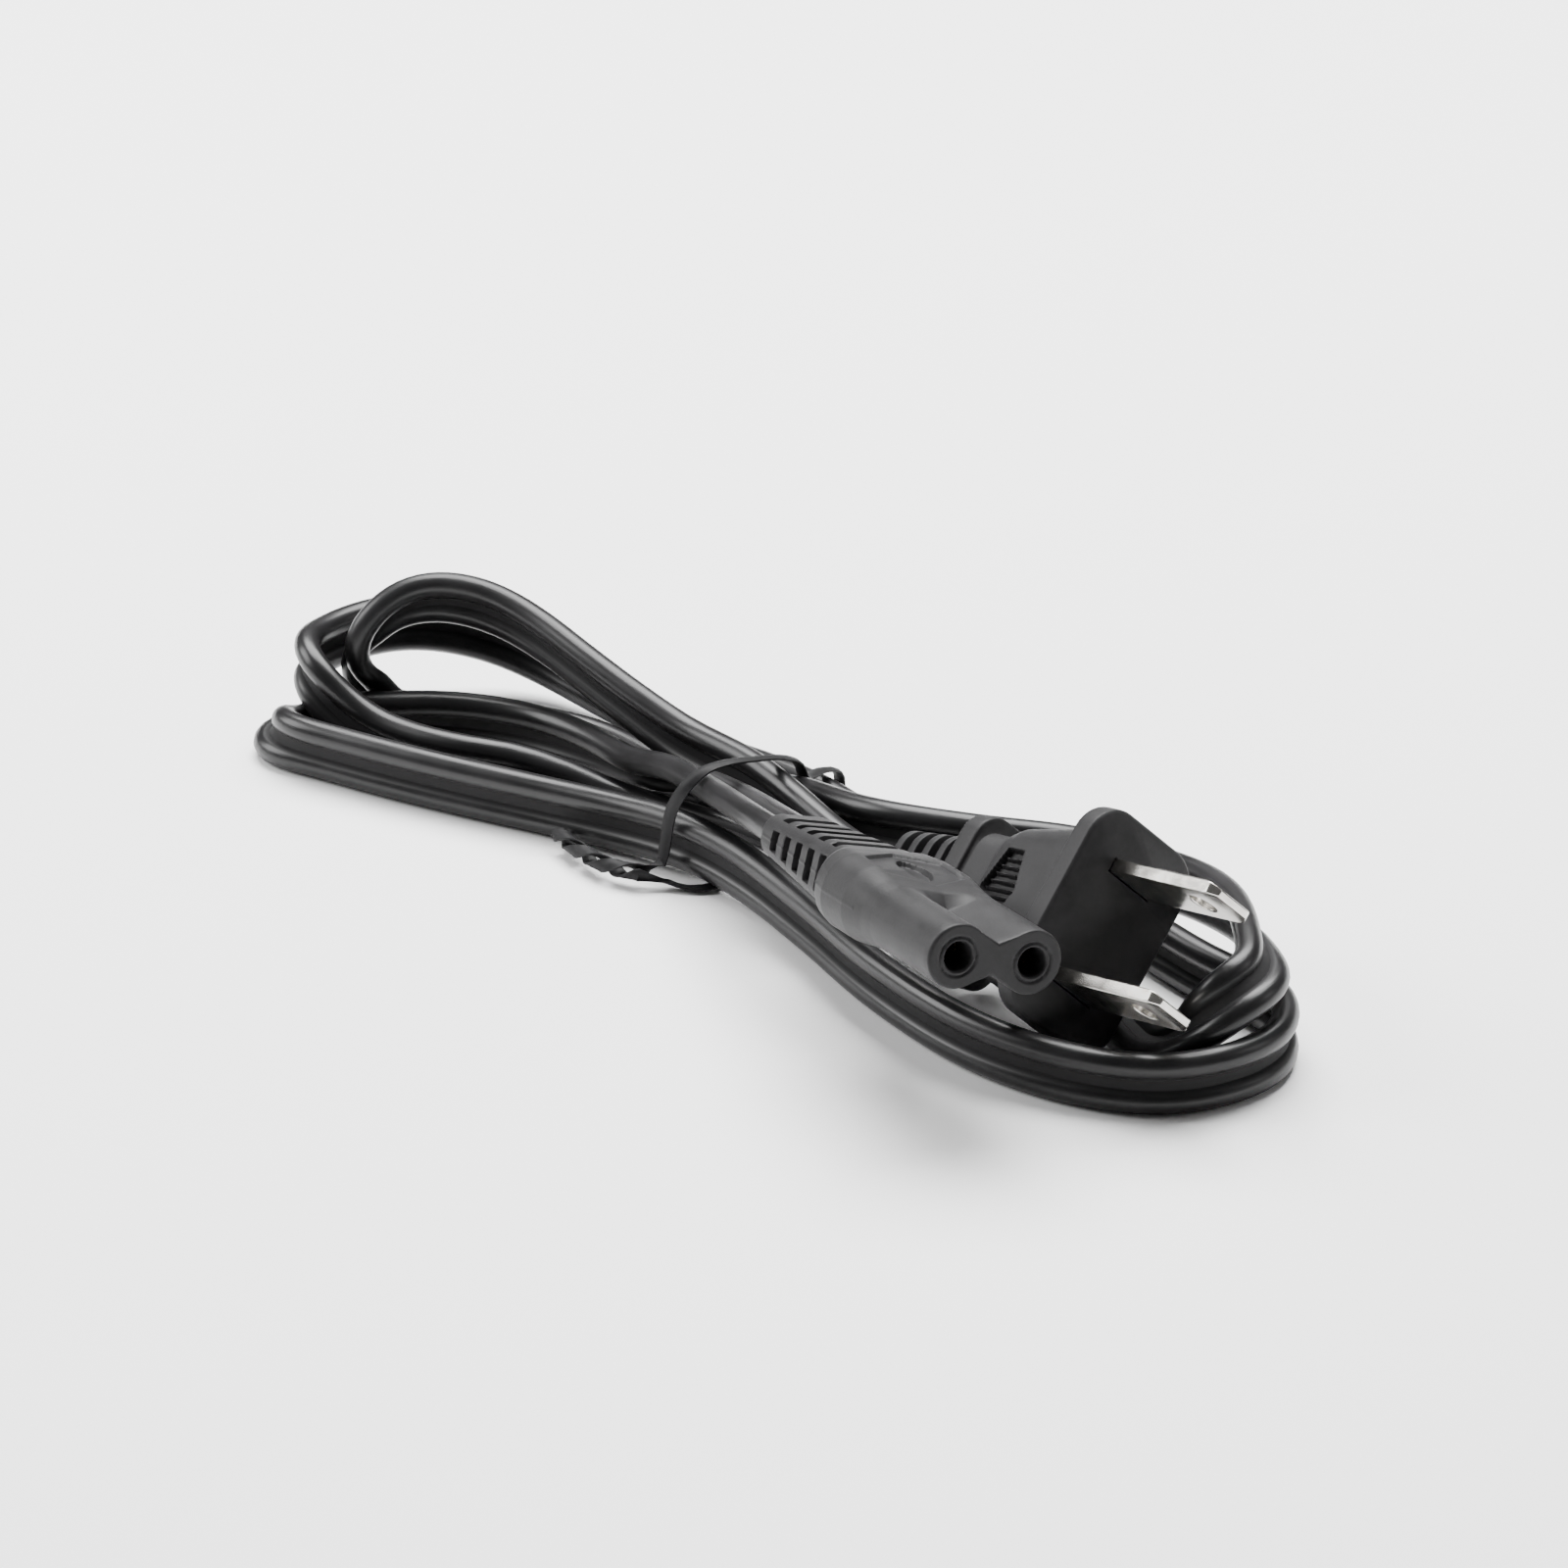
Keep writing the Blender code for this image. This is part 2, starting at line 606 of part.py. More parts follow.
def make_plug(mat):
    mesh = loft("plug_body", plug_rings())
    pocket_half_w = BLADE_WIDTH / 2 + FIT_GAP
    pocket_half_t = BLADE_THICKNESS / 2 + FIT_GAP
    for side in (-1, 1):
        middle = side * BLADE_PITCH / 2
        low = (-BLADE_ROOT - FIT_GAP, middle - pocket_half_t, -pocket_half_w)
        high = (CUT_PAST, middle + pocket_half_t, pocket_half_w)
        mesh = combine(mesh, box("pocket", low, high), "DIFFERENCE")
    surface = PLUG_TAPER_SHORT / 2
    for side in (-1, 1):
        outline = []
        for p, q in ((1, 0.0), (1 - GRIP_CORNER / GRIP_HALF_LENGTH, 1), (-1 + GRIP_CORNER / GRIP_HALF_LENGTH, 1),
                     (-1, 0.0), (-1 + GRIP_CORNER / GRIP_HALF_LENGTH, -1), (1 - GRIP_CORNER / GRIP_HALF_LENGTH, -1)):
            outline.append((-GRIP_MIDDLE + p * GRIP_HALF_LENGTH, q * GRIP_HALF_WIDTH))
        floor = side * (surface - GRIP_DEPTH)
        cutter = prism("panel", outline, 2, min(floor, side * CUT_REACH), max(floor, side * CUT_REACH))
        mesh = combine(mesh, cutter, "DIFFERENCE")
        for k in range(GRIP_RIBS):
            share = (k + 0.5) / GRIP_RIBS * 2 - 1
            at = share * (GRIP_HALF_WIDTH - 0.8)
            reach = GRIP_HALF_LENGTH - GRIP_CORNER * abs(at) / GRIP_HALF_WIDTH - 0.5
            inner = side * (surface - GRIP_DEPTH - 0.5)
            outer = side * (surface - GRIP_DEPTH + GRIP_RIB_HEIGHT)
            low = (-GRIP_MIDDLE - reach, at - GRIP_RIB_WIDTH / 2, min(inner, outer))
            high = (-GRIP_MIDDLE + reach, at + GRIP_RIB_WIDTH / 2, max(inner, outer))
            mesh = combine(mesh, box("rib", low, high), "UNION")
    mesh.name = "plug_body"
    mesh.transform(pose(PLUG_AT, PLUG_OUT, PLUG_DOWN))
    return add_object("plug_body", mesh, mat)


def make_blade(name, side, mat):
    half = BLADE_WIDTH / 2
    cut = BLADE_TIP_CHAMFER
    outline = [(-BLADE_ROOT, -half), (BLADE_LENGTH - cut, -half), (BLADE_LENGTH, -half + cut),
               (BLADE_LENGTH, half - cut), (BLADE_LENGTH - cut, half), (-BLADE_ROOT, half)]
    middle = side * BLADE_PITCH / 2
    low = middle - BLADE_THICKNESS / 2
    high = middle + BLADE_THICKNESS / 2
    mesh = prism(name, outline, 1, low, high)
    hole = circle(BLADE_HOLE_DIAMETER / 2, BLADE_HOLE_POINTS, BLADE_HOLE_FROM_FACE, 0.0)
    mesh = combine(mesh, prism("hole", hole, 1, low - CUT_PAST, high + CUT_PAST), "DIFFERENCE")
    mesh.name = name
    mesh.transform(pose(PLUG_AT, PLUG_OUT, PLUG_DOWN))
    return add_object(name, mesh, mat)


def connector_ring(back, scale_wide, scale_high, valley):
    """Figure-eight outline at one distance behind the face; valley 1 is full, 0 is filled."""
    radius = CONNECTOR_LOBE_DIAMETER / 2
    centre = CONNECTOR_HOLE_PITCH / 2
    lobe_steps = 12
    bridge_steps = 10

    def bridge_height(x):
        reach = abs(abs(x) - centre)
        lobe = math.sqrt(max(radius * radius - reach * reach, 0.0))
        vee = CONNECTOR_VALLEY_HALF_HEIGHT + CONNECTOR_VALLEY_SLOPE * abs(x)
        dipped = min(max(lobe, vee), radius)
        return radius + valley * (dipped - radius)

    ring = []
    for k in range(lobe_steps + 1):
        angle = math.radians(-90.0 + 180.0 * k / lobe_steps)
        ring.append((centre + radius * math.cos(angle), radius * math.sin(angle)))
    for k in range(1, bridge_steps):
        x = centre - 2 * centre * k / bridge_steps
        ring.append((x, bridge_height(x)))
    for k in range(lobe_steps + 1):
        angle = math.radians(90.0 + 180.0 * k / lobe_steps)
        ring.append((-centre + radius * math.cos(angle), radius * math.sin(angle)))
    for k in range(1, bridge_steps):
        x = -centre + 2 * centre * k / bridge_steps
        ring.append((x, -bridge_height(x)))
    return [(-back, p * scale_wide, q * scale_high) for p, q in ring]


def make_connector(mat):
    edge = CONNECTOR_FACE_EDGE
    shrink = 1 - edge / (CONNECTOR_LOBE_DIAMETER / 2)
    rows = [
        (CONNECTOR_BODY_END, CONNECTOR_END_SCALE_WIDE, CONNECTOR_END_SCALE_HIGH, 0.0),
        (CONNECTOR_BODY_END - CONNECTOR_SHOULDER_DEPTH, CONNECTOR_SHOULDER_SCALE_WIDE,
         CONNECTOR_SHOULDER_SCALE_HIGH, 0.0),
        (CONNECTOR_GRIP_END, CONNECTOR_GRIP_SCALE_WIDE, CONNECTOR_GRIP_SCALE_HIGH, 0.0),
        (CONNECTOR_GRIP_FULL, CONNECTOR_GRIP_SCALE_WIDE, CONNECTOR_GRIP_SCALE_HIGH, 0.0),
        (CONNECTOR_GRIP_START, 1.01, 1.06, 0.0),
        (CONNECTOR_VALLEY_END, 1.0, 1.01, 0.15),
        (CONNECTOR_VALLEY_END - CONNECTOR_VALLEY_RAMP, 1.0, 1.0, 1.0),
        (edge, 1.0, 1.0, 1.0),
        (0.0, (shrink + 1) / 2, shrink, 1.0),
    ]
    mesh = loft("connector_body", [connector_ring(*row) for row in rows])

    relief = []
    for back, wide, high in ((CONNECTOR_LENGTH, CONNECTOR_RELIEF_TIP_WIDE, CONNECTOR_RELIEF_TIP_HIGH),
                             (CONNECTOR_BODY_END - 2.0, CONNECTOR_RELIEF_WIDE, CONNECTOR_RELIEF_HIGH)):
        outline = rounded_rectangle(wide, high, CONNECTOR_RELIEF_CORNER)
        relief.append([(-back, p, q) for p, q in outline])
    relief_mesh = loft("relief", relief)
    for k in range(CONNECTOR_SLOTS):
        start = CONNECTOR_SLOT_START + k * CONNECTOR_SLOT_PITCH
        share = (start - CONNECTOR_BODY_END) / (CONNECTOR_LENGTH - CONNECTOR_BODY_END)
        half_high = (CONNECTOR_RELIEF_HIGH + share * (CONNECTOR_RELIEF_TIP_HIGH - CONNECTOR_RELIEF_HIGH)) / 2
        half_wide = (CONNECTOR_RELIEF_WIDE + share * (CONNECTOR_RELIEF_TIP_WIDE - CONNECTOR_RELIEF_WIDE)) / 2
        depth = CONNECTOR_SLOT_DEPTH
        back = -start - CONNECTOR_SLOT_WIDTH
        for side in (-1, 1):
            zs = sorted((side * (half_high - depth), side * CUT_REACH))
            cutter = box("slot", (back, -half_wide + 1.0, zs[0]), (-start, half_wide - 1.0, zs[1]))
            relief_mesh = combine(relief_mesh, cutter, "DIFFERENCE")
            ys = sorted((side * (half_wide - depth), side * CUT_REACH))
            cutter = box("side_slot", (back, ys[0], -half_high + 1.5), (-start, ys[1], half_high - 1.5))
            relief_mesh = combine(relief_mesh, cutter, "DIFFERENCE")
    mesh = combine(mesh, relief_mesh, "UNION")

    for side in (-1, 1):
        middle = side * CONNECTOR_HOLE_PITCH / 2
        entry = prism("entry", circle(BORE_DIAMETER / 2, ROUND_POINTS, middle, 0.0), 0, -BORE_DEPTH - 0.2, 1.0)
        mesh = combine(mesh, entry, "DIFFERENCE")
        chamber = prism("chamber", circle(CHAMBER_DIAMETER / 2, ROUND_POINTS, middle, 0.0), 0,
                        -CHAMBER_END, -BORE_DEPTH)
        mesh = combine(mesh, chamber, "DIFFERENCE")
    top = CONNECTOR_LOBE_DIAMETER / 2 * CONNECTOR_GRIP_SCALE_HIGH
    dish = []
    for p, q in circle(1.0, ROUND_POINTS):
        dish.append((-CONNECTOR_DISH_MIDDLE + p * CONNECTOR_DISH_LENGTH / 2, q * CONNECTOR_DISH_WIDTH / 2))
    cutter = prism("dish", dish, 2, top - CONNECTOR_DISH_DEPTH, top + 2.0)
    mesh = combine(mesh, cutter, "DIFFERENCE")
    mesh.name = "connector_body"
    mesh.transform(pose(CONNECTOR_AT, CONNECTOR_OUT, CONNECTOR_RIGHT))
    return add_object("connector_body", mesh, mat)


def make_sleeve(name, side, mat):
    middle = side * CONNECTOR_HOLE_PITCH / 2
    outer = prism(name, circle(SLEEVE_OUTER / 2, ROUND_POINTS, middle, 0.0), 0, -SLEEVE_END, -SLEEVE_START)
    inner = prism("inner", circle(SLEEVE_INNER / 2, ROUND_POINTS, middle, 0.0), 0,
                  -SLEEVE_END - 1.0, -SLEEVE_START + 1.0)
    mesh = combine(outer, inner, "DIFFERENCE")
    mesh.name = name
    mesh.transform(pose(CONNECTOR_AT, CONNECTOR_OUT, CONNECTOR_RIGHT))
    return add_object(name, mesh, mat)


def build():
    for obj in list(bpy.data.objects):
        bpy.data.objects.remove(obj)
    black = material("cord_black", (0.030, 0.029, 0.031), 0.0, 0.42)
    moulding = material("moulding_black", (0.040, 0.039, 0.041), 0.0, 0.55)
    nickel = material("nickel", (0.72, 0.71, 0.69), 1.0, 0.28)
    brass = material("contact_brass", (0.62, 0.50, 0.26), 1.0, 0.35)
    strip = material("tie_black", (0.026, 0.025, 0.027), 0.0, 0.48)
    make_cord(black)
    make_plug(moulding)
    make_blade("plug_blade_upper", -1, nickel)
    make_blade("plug_blade_lower", 1, nickel)
    make_connector(moulding)
    make_sleeve("connector_contact_left", -1, brass)
    make_sleeve("connector_contact_right", 1, brass)
    make_tie(strip)


build()
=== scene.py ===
"""Looks of the figure-eight power cord: the cord, its two mouldings, blades, contacts and tie."""
import math

import bmesh
import bpy
import numpy as np
from mathutils import Matrix, Vector


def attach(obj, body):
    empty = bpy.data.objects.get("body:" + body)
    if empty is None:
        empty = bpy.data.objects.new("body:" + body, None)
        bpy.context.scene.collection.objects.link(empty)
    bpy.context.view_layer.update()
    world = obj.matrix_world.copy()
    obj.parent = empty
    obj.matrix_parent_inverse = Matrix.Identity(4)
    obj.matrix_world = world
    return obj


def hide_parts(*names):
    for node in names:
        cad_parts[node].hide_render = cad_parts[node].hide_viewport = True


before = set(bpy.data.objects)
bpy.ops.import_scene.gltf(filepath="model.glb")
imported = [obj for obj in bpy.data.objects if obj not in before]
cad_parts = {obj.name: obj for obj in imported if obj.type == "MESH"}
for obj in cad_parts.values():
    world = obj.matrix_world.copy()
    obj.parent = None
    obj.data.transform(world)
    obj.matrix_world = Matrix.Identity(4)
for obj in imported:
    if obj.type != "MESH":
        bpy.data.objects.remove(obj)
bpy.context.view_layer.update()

MM = 0.001

# Middle of the hank's footprint in the layout that the route and the poses are written in
FOOTPRINT_X = 16.09
FOOTPRINT_Y = -28.55

# Clearance between pieces, and how far a cutter reaches past the surface it cuts
FIT_GAP = 0.3
CORD_END_GAP = 0.5
CUT_PAST = 1.0

# Camera: direction from the hank, distance and the scale of the picture at the hank
CAMERA_AZIMUTH = 38.0
CAMERA_ELEVATION = 25.0
CAMERA_DISTANCE = 900.0
IMAGE_SIZE = 1600
PIXELS_PER_MM = 9.3
SENSOR_WIDTH = 36.0

# Flat two-core cord
CORD_THICKNESS = 2.9
CORD_CORE_SPACING = 3.8
CORD_WEB_THICKNESS = 1.2
CORD_LOBE_POINTS = 20
CORD_RING_EVERY = 1.4
CORD_RING_TURN = 0.09
GROOVE_DULL_INNER = 0.7
GROOVE_DULL_OUTER = 1.1

# Plug moulding: back from the face, size along the blade pitch, size across it, corner radius
PLUG_RELIEF_END = 33.5
PLUG_COLLAR_END = 21.5
PLUG_RELIEF_RIBS = 5
PLUG_RELIEF_ROOT = (12.8, 7.2)
PLUG_RELIEF_TIP = (11.6, 6.0)
PLUG_RELIEF_CORNER = 2.5
PLUG_GROOVE_DEPTH = 0.9
PLUG_GROOVE_SHARE = 0.45
PLUG_PROFILE = [
    (21.5, 15.8, 10.3, 3.0),
    (21.4, 16.8, 11.3, 3.0),
    (21.2, 17.0, 11.5, 3.0),
    (19.1, 17.0, 11.5, 3.0),
    (18.9, 16.8, 11.3, 3.0),
    (18.8, 16.0, 10.7, 3.0),
    (18.5, 13.8, 10.4, 3.0),
    (14.9, 13.8, 10.4, 3.0),
    (14.2, 14.6, 11.6, 3.0),
    (12.5, 16.0, 12.2, 3.0),
    (9.5, 16.9, 12.4, 3.0),
    (2.9, 19.0, 12.8, 3.0),
    (2.7, 23.1, 15.3, 3.8),
    (2.5, 23.6, 15.8, 4.0),
    (0.3, 23.6, 15.8, 4.0),
    (0.0, 22.9, 15.1, 3.7),
]
GRIP_MIDDLE = 11.2
GRIP_HALF_LENGTH = 2.9
GRIP_HALF_WIDTH = 4.6
GRIP_CORNER = 1.6
GRIP_DEPTH = 0.8
GRIP_RIBS = 9
GRIP_RIB_HALF = 0.16
GRIP_RIB_HEIGHT = 0.62
SEAM_HALF = 0.12
SEAM_HEIGHT = 0.07

# Blades
BLADE_PITCH = 12.7
BLADE_WIDTH = 6.35
BLADE_THICKNESS = 1.5
BLADE_LENGTH = 15.9
BLADE_ROOT = 5.4
BLADE_TIP_CHAMFER = 0.9
BLADE_TIP_TAPER = 0.35
BLADE_SHOULDER_TAPER = 0.12
BLADE_TAPER_LENGTH = 1.6
BLADE_EDGE_RADIUS = 0.16
BLADE_HOLE_DIAMETER = 3.1
BLADE_HOLE_FROM_FACE = 11.7
POCKET_GAP = 0.1

# Connector moulding
CONNECTOR_HOLE_PITCH = 8.6
CONNECTOR_LOBE_DIAMETER = 6.8
CONNECTOR_VALLEY_HALF_HEIGHT = 1.7
CONNECTOR_VALLEY_SLOPE = 0.45
CONNECTOR_FACE_EDGE = 0.35
CONNECTOR_LENGTH = 43.5
CONNECTOR_BODY_END = 26.3
CONNECTOR_RELIEF_ROOT = (10.6, 7.2)
CONNECTOR_RELIEF_TIP = (8.4, 4.6)
CONNECTOR_RELIEF_CORNER = 2.0
# back from the face, width scale, height scale, how far the valley is open
CONNECTOR_BODY = [
    (0.0, 1.0, 1.0, 1.0),
    (11.0, 1.0, 1.0, 1.0),
    (12.5, 1.0, 1.01, 0.15),
    (14.5, 1.01, 1.06, 0.0),
    (18.0, 1.05, 1.20, 0.0),
    (22.5, 1.05, 1.20, 0.0),
    (25.0, 0.97, 1.15, 0.0),
    (25.8, 0.91, 1.11, 0.0),
    (26.3, 0.82, 1.05, 0.0),
]
CONNECTOR_SLOTS = 5
CONNECTOR_SLOT_WIDTH = 1.2
CONNECTOR_SLOT_PITCH = 2.9
CONNECTOR_SLOT_START = 27.9
CONNECTOR_SLOT_DEPTH = 1.0
CONNECTOR_DISH_MIDDLE = 18.8
CONNECTOR_DISH_HALF = (3.25, 1.6)
CONNECTOR_DISH_DEPTH = 0.9
CONNECTOR_PANEL_MIDDLE = 18.9
CONNECTOR_PANEL_HALF = (4.9, 4.6)
CONNECTOR_PANEL_CUT = 2.4
CONNECTOR_PANEL_DEPTH = 0.35
CONNECTOR_ANGLES = 300
BORE_DIAMETER = 3.0
BORE_DEPTH = 3.0
BORE_LIP_DIAMETER = 3.9
CHAMBER_DIAMETER = 3.9
CHAMBER_END = 13.0
SLEEVE_OUTER = 3.2
SLEEVE_INNER = 2.4
SLEEVE_START = 3.4
SLEEVE_END = 12.6

# Tie strip
TIE_WIDTH = 1.5
TIE_THICKNESS = 0.6
TIE_EDGE_THICKNESS = 0.34
TIE_TWIST_OFFSET = 0.62
TIE_TWIST_TURNS = 1.5
TIE_TWIST_STEPS = 90

# Where the plug lies: middle of its face and the way its axes point
PLUG_AT = (65.7, -31.35, 13.6)
PLUG_OUT = (0.953, -0.229, 0.200)
PLUG_DOWN = (-0.011, -0.732, -0.681)

# Where the connector lies: middle of its mating face and the way its axes point
CONNECTOR_AT = (68.2, -53.1, 19.8)
CONNECTOR_OUT = (0.903, -0.416, 0.106)
CONNECTOR_RIGHT = (0.429, 0.859, -0.280)

# Route of the cord's middle line from the connector to the plug: x, y, z and the lean
# of the flat side in degrees, 0 when the cord stands on edge and 90 when it lies flat
ROUTE = [
    (10.2, -23.6, 10.7, 69),
    (1.1, -19.1, 8.6, 57),
    (-7.1, -15.9, 5.6, 45),
    (-15.5, -13.2, 4.3, 20),
    (-24.0, -12.1, 3.6, 5),
    (-30.5, -13.4, 3.5, 0),
    (-36.0, -16.0, 3.5, 0),
    (-41.0, -18.9, 3.3, 15),
    (-46.0, -20.9, 2.9, 35),
    (-49.4, -23.2, 2.5, 62),
    (-50.0, -26.8, 2.5, 60),
    (-48.3, -29.7, 3.2, 25),
    (-44.6, -30.4, 3.4, 0),
    (-39.3, -29.9, 3.4, 0),
    (-33.1, -29.3, 3.4, 0),
    (-22.9, -27.8, 3.4, 0),
    (-13.1, -26.0, 3.4, 0),
    (-2.6, -24.9, 3.8, 0),
    (6.6, -25.2, 4.4, 0),
    (15.6, -26.8, 4.0, 0),
    (26.7, -30.8, 3.4, 0),
    (42.3, -38.0, 3.4, 0),
    (57.9, -42.6, 3.4, 0),
    (70.0, -42.4, 3.4, 0),
    (78.8, -38.6, 3.4, 0),
    (82.9, -32.0, 3.4, 0),
    (83.5, -25.4, 3.4, 0),
    (80.9, -20.1, 3.4, 0),
    (76.9, -16.9, 3.4, 0),
    (72.3, -16.2, 3.4, 0),
    (66.6, -15.2, 3.4, 0),
    (59.3, -12.9, 3.4, 0),
    (49.0, -10.2, 3.0, 25),
    (39.5, -8.5, 1.5, 88),
    (30.0, -7.8, 1.5, 90),
    (20.0, -7.3, 1.6, 90),
    (7.0, -4.3, 2.5, 90),
    (-7.0, -2.0, 2.6, 66),
    (-20.0, -0.9, 3.5, 20),
    (-34.9, 1.4, 5.0, 0),
    (-40.4, 0.0, 6.6, 0),
    (-44.7, -3.5, 8.2, 0),
    (-47.8, -6.6, 8.8, 0),
    (-49.8, -10.1, 9.0, 0),
    (-51.0, -14.5, 9.0, 0),
    (-50.8, -19.2, 9.1, 0),
    (-49.3, -23.0, 9.7, 0),
    (-46.6, -25.2, 9.1, 0),
    (-42.8, -25.2, 6.2, 0),
    (-38.6, -24.6, 4.2, 0),
    (-33.6, -24.2, 3.5, 0),
    (-27.0, -23.2, 3.4, 0),
    (-19.0, -21.0, 2.9, 35),
    (-10.0, -19.2, 2.0, 75),
    (0.0, -18.3, 2.2, 90),
    (7.0, -18.5, 2.5, 90),
    (14.0, -18.7, 2.1, 90),
    (23.0, -16.9, 1.5, 90),
    (34.0, -15.2, 1.5, 90),
    (46.0, -17.0, 1.5, 90),
    (55.0, -21.0, 1.5, 90),
    (63.0, -25.2, 1.5, 90),
    (69.6, -29.3, 1.6, 85),
    (74.4, -31.4, 3.8, 60),
    (78.0, -31.2, 7.2, 48),
    (80.4, -29.2, 10.2, 52),
    (80.9, -24.7, 11.0, 55),
    (76.3, -19.1, 11.0, 35),
    (69.8, -13.4, 10.2, 12),
    (63.1, -9.5, 9.0, 0),
    (56.6, -7.4, 8.0, 0),
    (44.9, -7.0, 7.1, 0),
    (34.9, -10.9, 7.0, 0),
    (24.8, -13.9, 6.8, 0),
    (18.3, -13.2, 5.9, 0),
    (10.0, -10.9, 4.5, 0),
    (1.0, -9.9, 2.7, 78),
    (-6.0, -9.1, 1.9, 90),
    (-14.0, -8.1, 1.5, 90),
    (-21.5, -6.5, 1.5, 90),
    (-28.5, -7.2, 1.5, 90),
    (-34.5, -9.3, 1.5, 90),
    (-40.0, -12.0, 1.7, 80),
    (-44.0, -14.8, 3.0, 65),
    (-45.7, -17.6, 6.6, 60),
    (-45.2, -18.5, 10.3, -55),
    (-44.0, -17.5, 13.4, -45),
    (-42.0, -14.8, 15.5, -30),
    (-38.3, -12.5, 16.5, -20),
    (-32.9, -10.5, 16.0, -15),
    (-26.2, -10.2, 14.5, -15),
    (-18.3, -11.3, 12.5, -15),
    (-10.7, -12.2, 10.4, -12),
    (-3.8, -12.7, 8.5, -5),
    (7.0, -14.6, 7.9, 5),
    (15.0, -17.4, 7.0, 15),
    (22.0, -20.3, 6.2, 30),
]
CORD_LEAD = 3.5
CONNECTOR_LEAN = 74
PLUG_LEAN = 47
ROUTE_STEP = 1.0
ROUTE_RELAX_COUNT = 8
LEAN_RELAX_COUNT = 6
STEEP_LIMIT = 0.6

# Tie: one end of the twist, round the bundle, and back to the other end of the twist
TIE_LOOP = [
    (5.6, -28.3, 2.9),
    (5.7, -27.75, 5.2),
    (6.0, -27.7, 7.3),
    (6.6, -27.9, 9.0),
    (7.6, -28.1, 10.8),
    (8.7, -27.7, 12.6),
    (9.6, -26.0, 13.9),
    (10.4, -23.2, 14.0),
    (11.1, -19.6, 13.3),
    (11.4, -16.0, 12.3),
    (10.9, -12.4, 10.6),
    (10.0, -10.0, 8.7),
    (9.2, -8.3, 6.6),
    (8.3, -6.2, 5.6),
    (7.6, -2.8, 4.9),
    (7.4, 0.1, 3.5),
    (7.4, 0.3, 1.4),
    (7.6, -1.6, 0.5),
    (8.4, -8.0, 0.42),
    (9.4, -16.0, 0.40),
    (10.6, -23.0, 0.42),
    (10.2, -26.4, 0.45),
    (8.4, -27.9, 0.5),
    (6.6, -28.5, 0.85),
]
TIE_TWIST_LINE = [
    (4.2, -30.2, 1.85),
    (0.8, -30.9, 1.82),
    (-3.6, -30.2, 1.82),
    (-8.8, -28.2, 1.9),
]


# Materials

def new_material(name, colour, metallic, roughness):
    mat = bpy.data.materials.new(name)
    mat.use_nodes = True
    shader = mat.node_tree.nodes["Principled BSDF"]
    shader.inputs["Base Color"].default_value = (*colour, 1.0)
    shader.inputs["Metallic"].default_value = metallic
    shader.inputs["Roughness"].default_value = roughness
    return mat, mat.node_tree, shader


def place_vector(tree, stretch=(1.0, 1.0, 1.0)):
    """The piece's own coordinates in millimetres, stretched along its axes."""
    source = tree.nodes.new("ShaderNodeAttribute")
    source.attribute_name = "local"
    mapping = tree.nodes.new("ShaderNodeMapping")
    mapping.inputs["Scale"].default_value = stretch
    tree.links.new(source.outputs["Vector"], mapping.inputs["Vector"])
    return mapping.outputs["Vector"]


def noise(tree, vector, scale, detail=3.0, rough=0.55):
    node = tree.nodes.new("ShaderNodeTexNoise")
    node.inputs["Scale"].default_value = scale
    node.inputs["Detail"].default_value = detail
    node.inputs["Roughness"].default_value = rough
    tree.links.new(vector, node.inputs["Vector"])
    return node.outputs["Fac"]


def ramp(tree, value, low, high, first, second):
    """Two colours or greys blended as value goes from low to high."""
    node = tree.nodes.new("ShaderNodeValToRGB")
    node.color_ramp.elements[0].position = low
    node.color_ramp.elements[1].position = high
    node.color_ramp.elements[0].color = (*first, 1.0)
    node.color_ramp.elements[1].color = (*second, 1.0)
    tree.links.new(value, node.inputs["Fac"])
    return node.outputs["Color"]


def span(tree, value, low, high):
    """Value from 0 to 1 spread over low to high."""
    node = tree.nodes.new("ShaderNodeMapRange")
    node.inputs["From Min"].default_value = 0.25
    node.inputs["From Max"].default_value = 0.75
    node.inputs["To Min"].default_value = low
    node.inputs["To Max"].default_value = high
    tree.links.new(value, node.inputs["Value"])
    return node.outputs["Result"]


def bumps(tree, shader, rows):
    """Layers of bump, each a height, a strength and a depth in metres."""
    normal = None
    for height, strength, depth in rows:
        node = tree.nodes.new("ShaderNodeBump")
        node.inputs["Strength"].default_value = strength
        node.inputs["Distance"].default_value = depth
        tree.links.new(height, node.inputs["Height"])
        if normal is not None:
            tree.links.new(normal, node.inputs["Normal"])
        normal = node.outputs["Normal"]
    tree.links.new(normal, shader.inputs["Normal"])


def dulled_groove(tree, vector, roughness):
    """Roughness that rises in the groove between the two cores, where dust settles."""
    parts = tree.nodes.new("ShaderNodeSeparateXYZ")
    tree.links.new(vector, parts.inputs["Vector"])
    off = tree.nodes.new("ShaderNodeMath")
    off.operation = "ABSOLUTE"
    tree.links.new(parts.outputs["Y"], off.inputs[0])
    extra = tree.nodes.new("ShaderNodeMapRange")
    extra.inputs["From Min"].default_value = GROOVE_DULL_INNER
    extra.inputs["From Max"].default_value = GROOVE_DULL_OUTER
    extra.inputs["To Min"].default_value = 0.5
    extra.inputs["To Max"].default_value = 0.0
    tree.links.new(off.outputs["Value"], extra.inputs["Value"])
    total = tree.nodes.new("ShaderNodeMath")
    total.operation = "ADD"
    tree.links.new(roughness, total.inputs[0])
    tree.links.new(extra.outputs["Result"], total.inputs[1])
    return total.outputs["Value"]


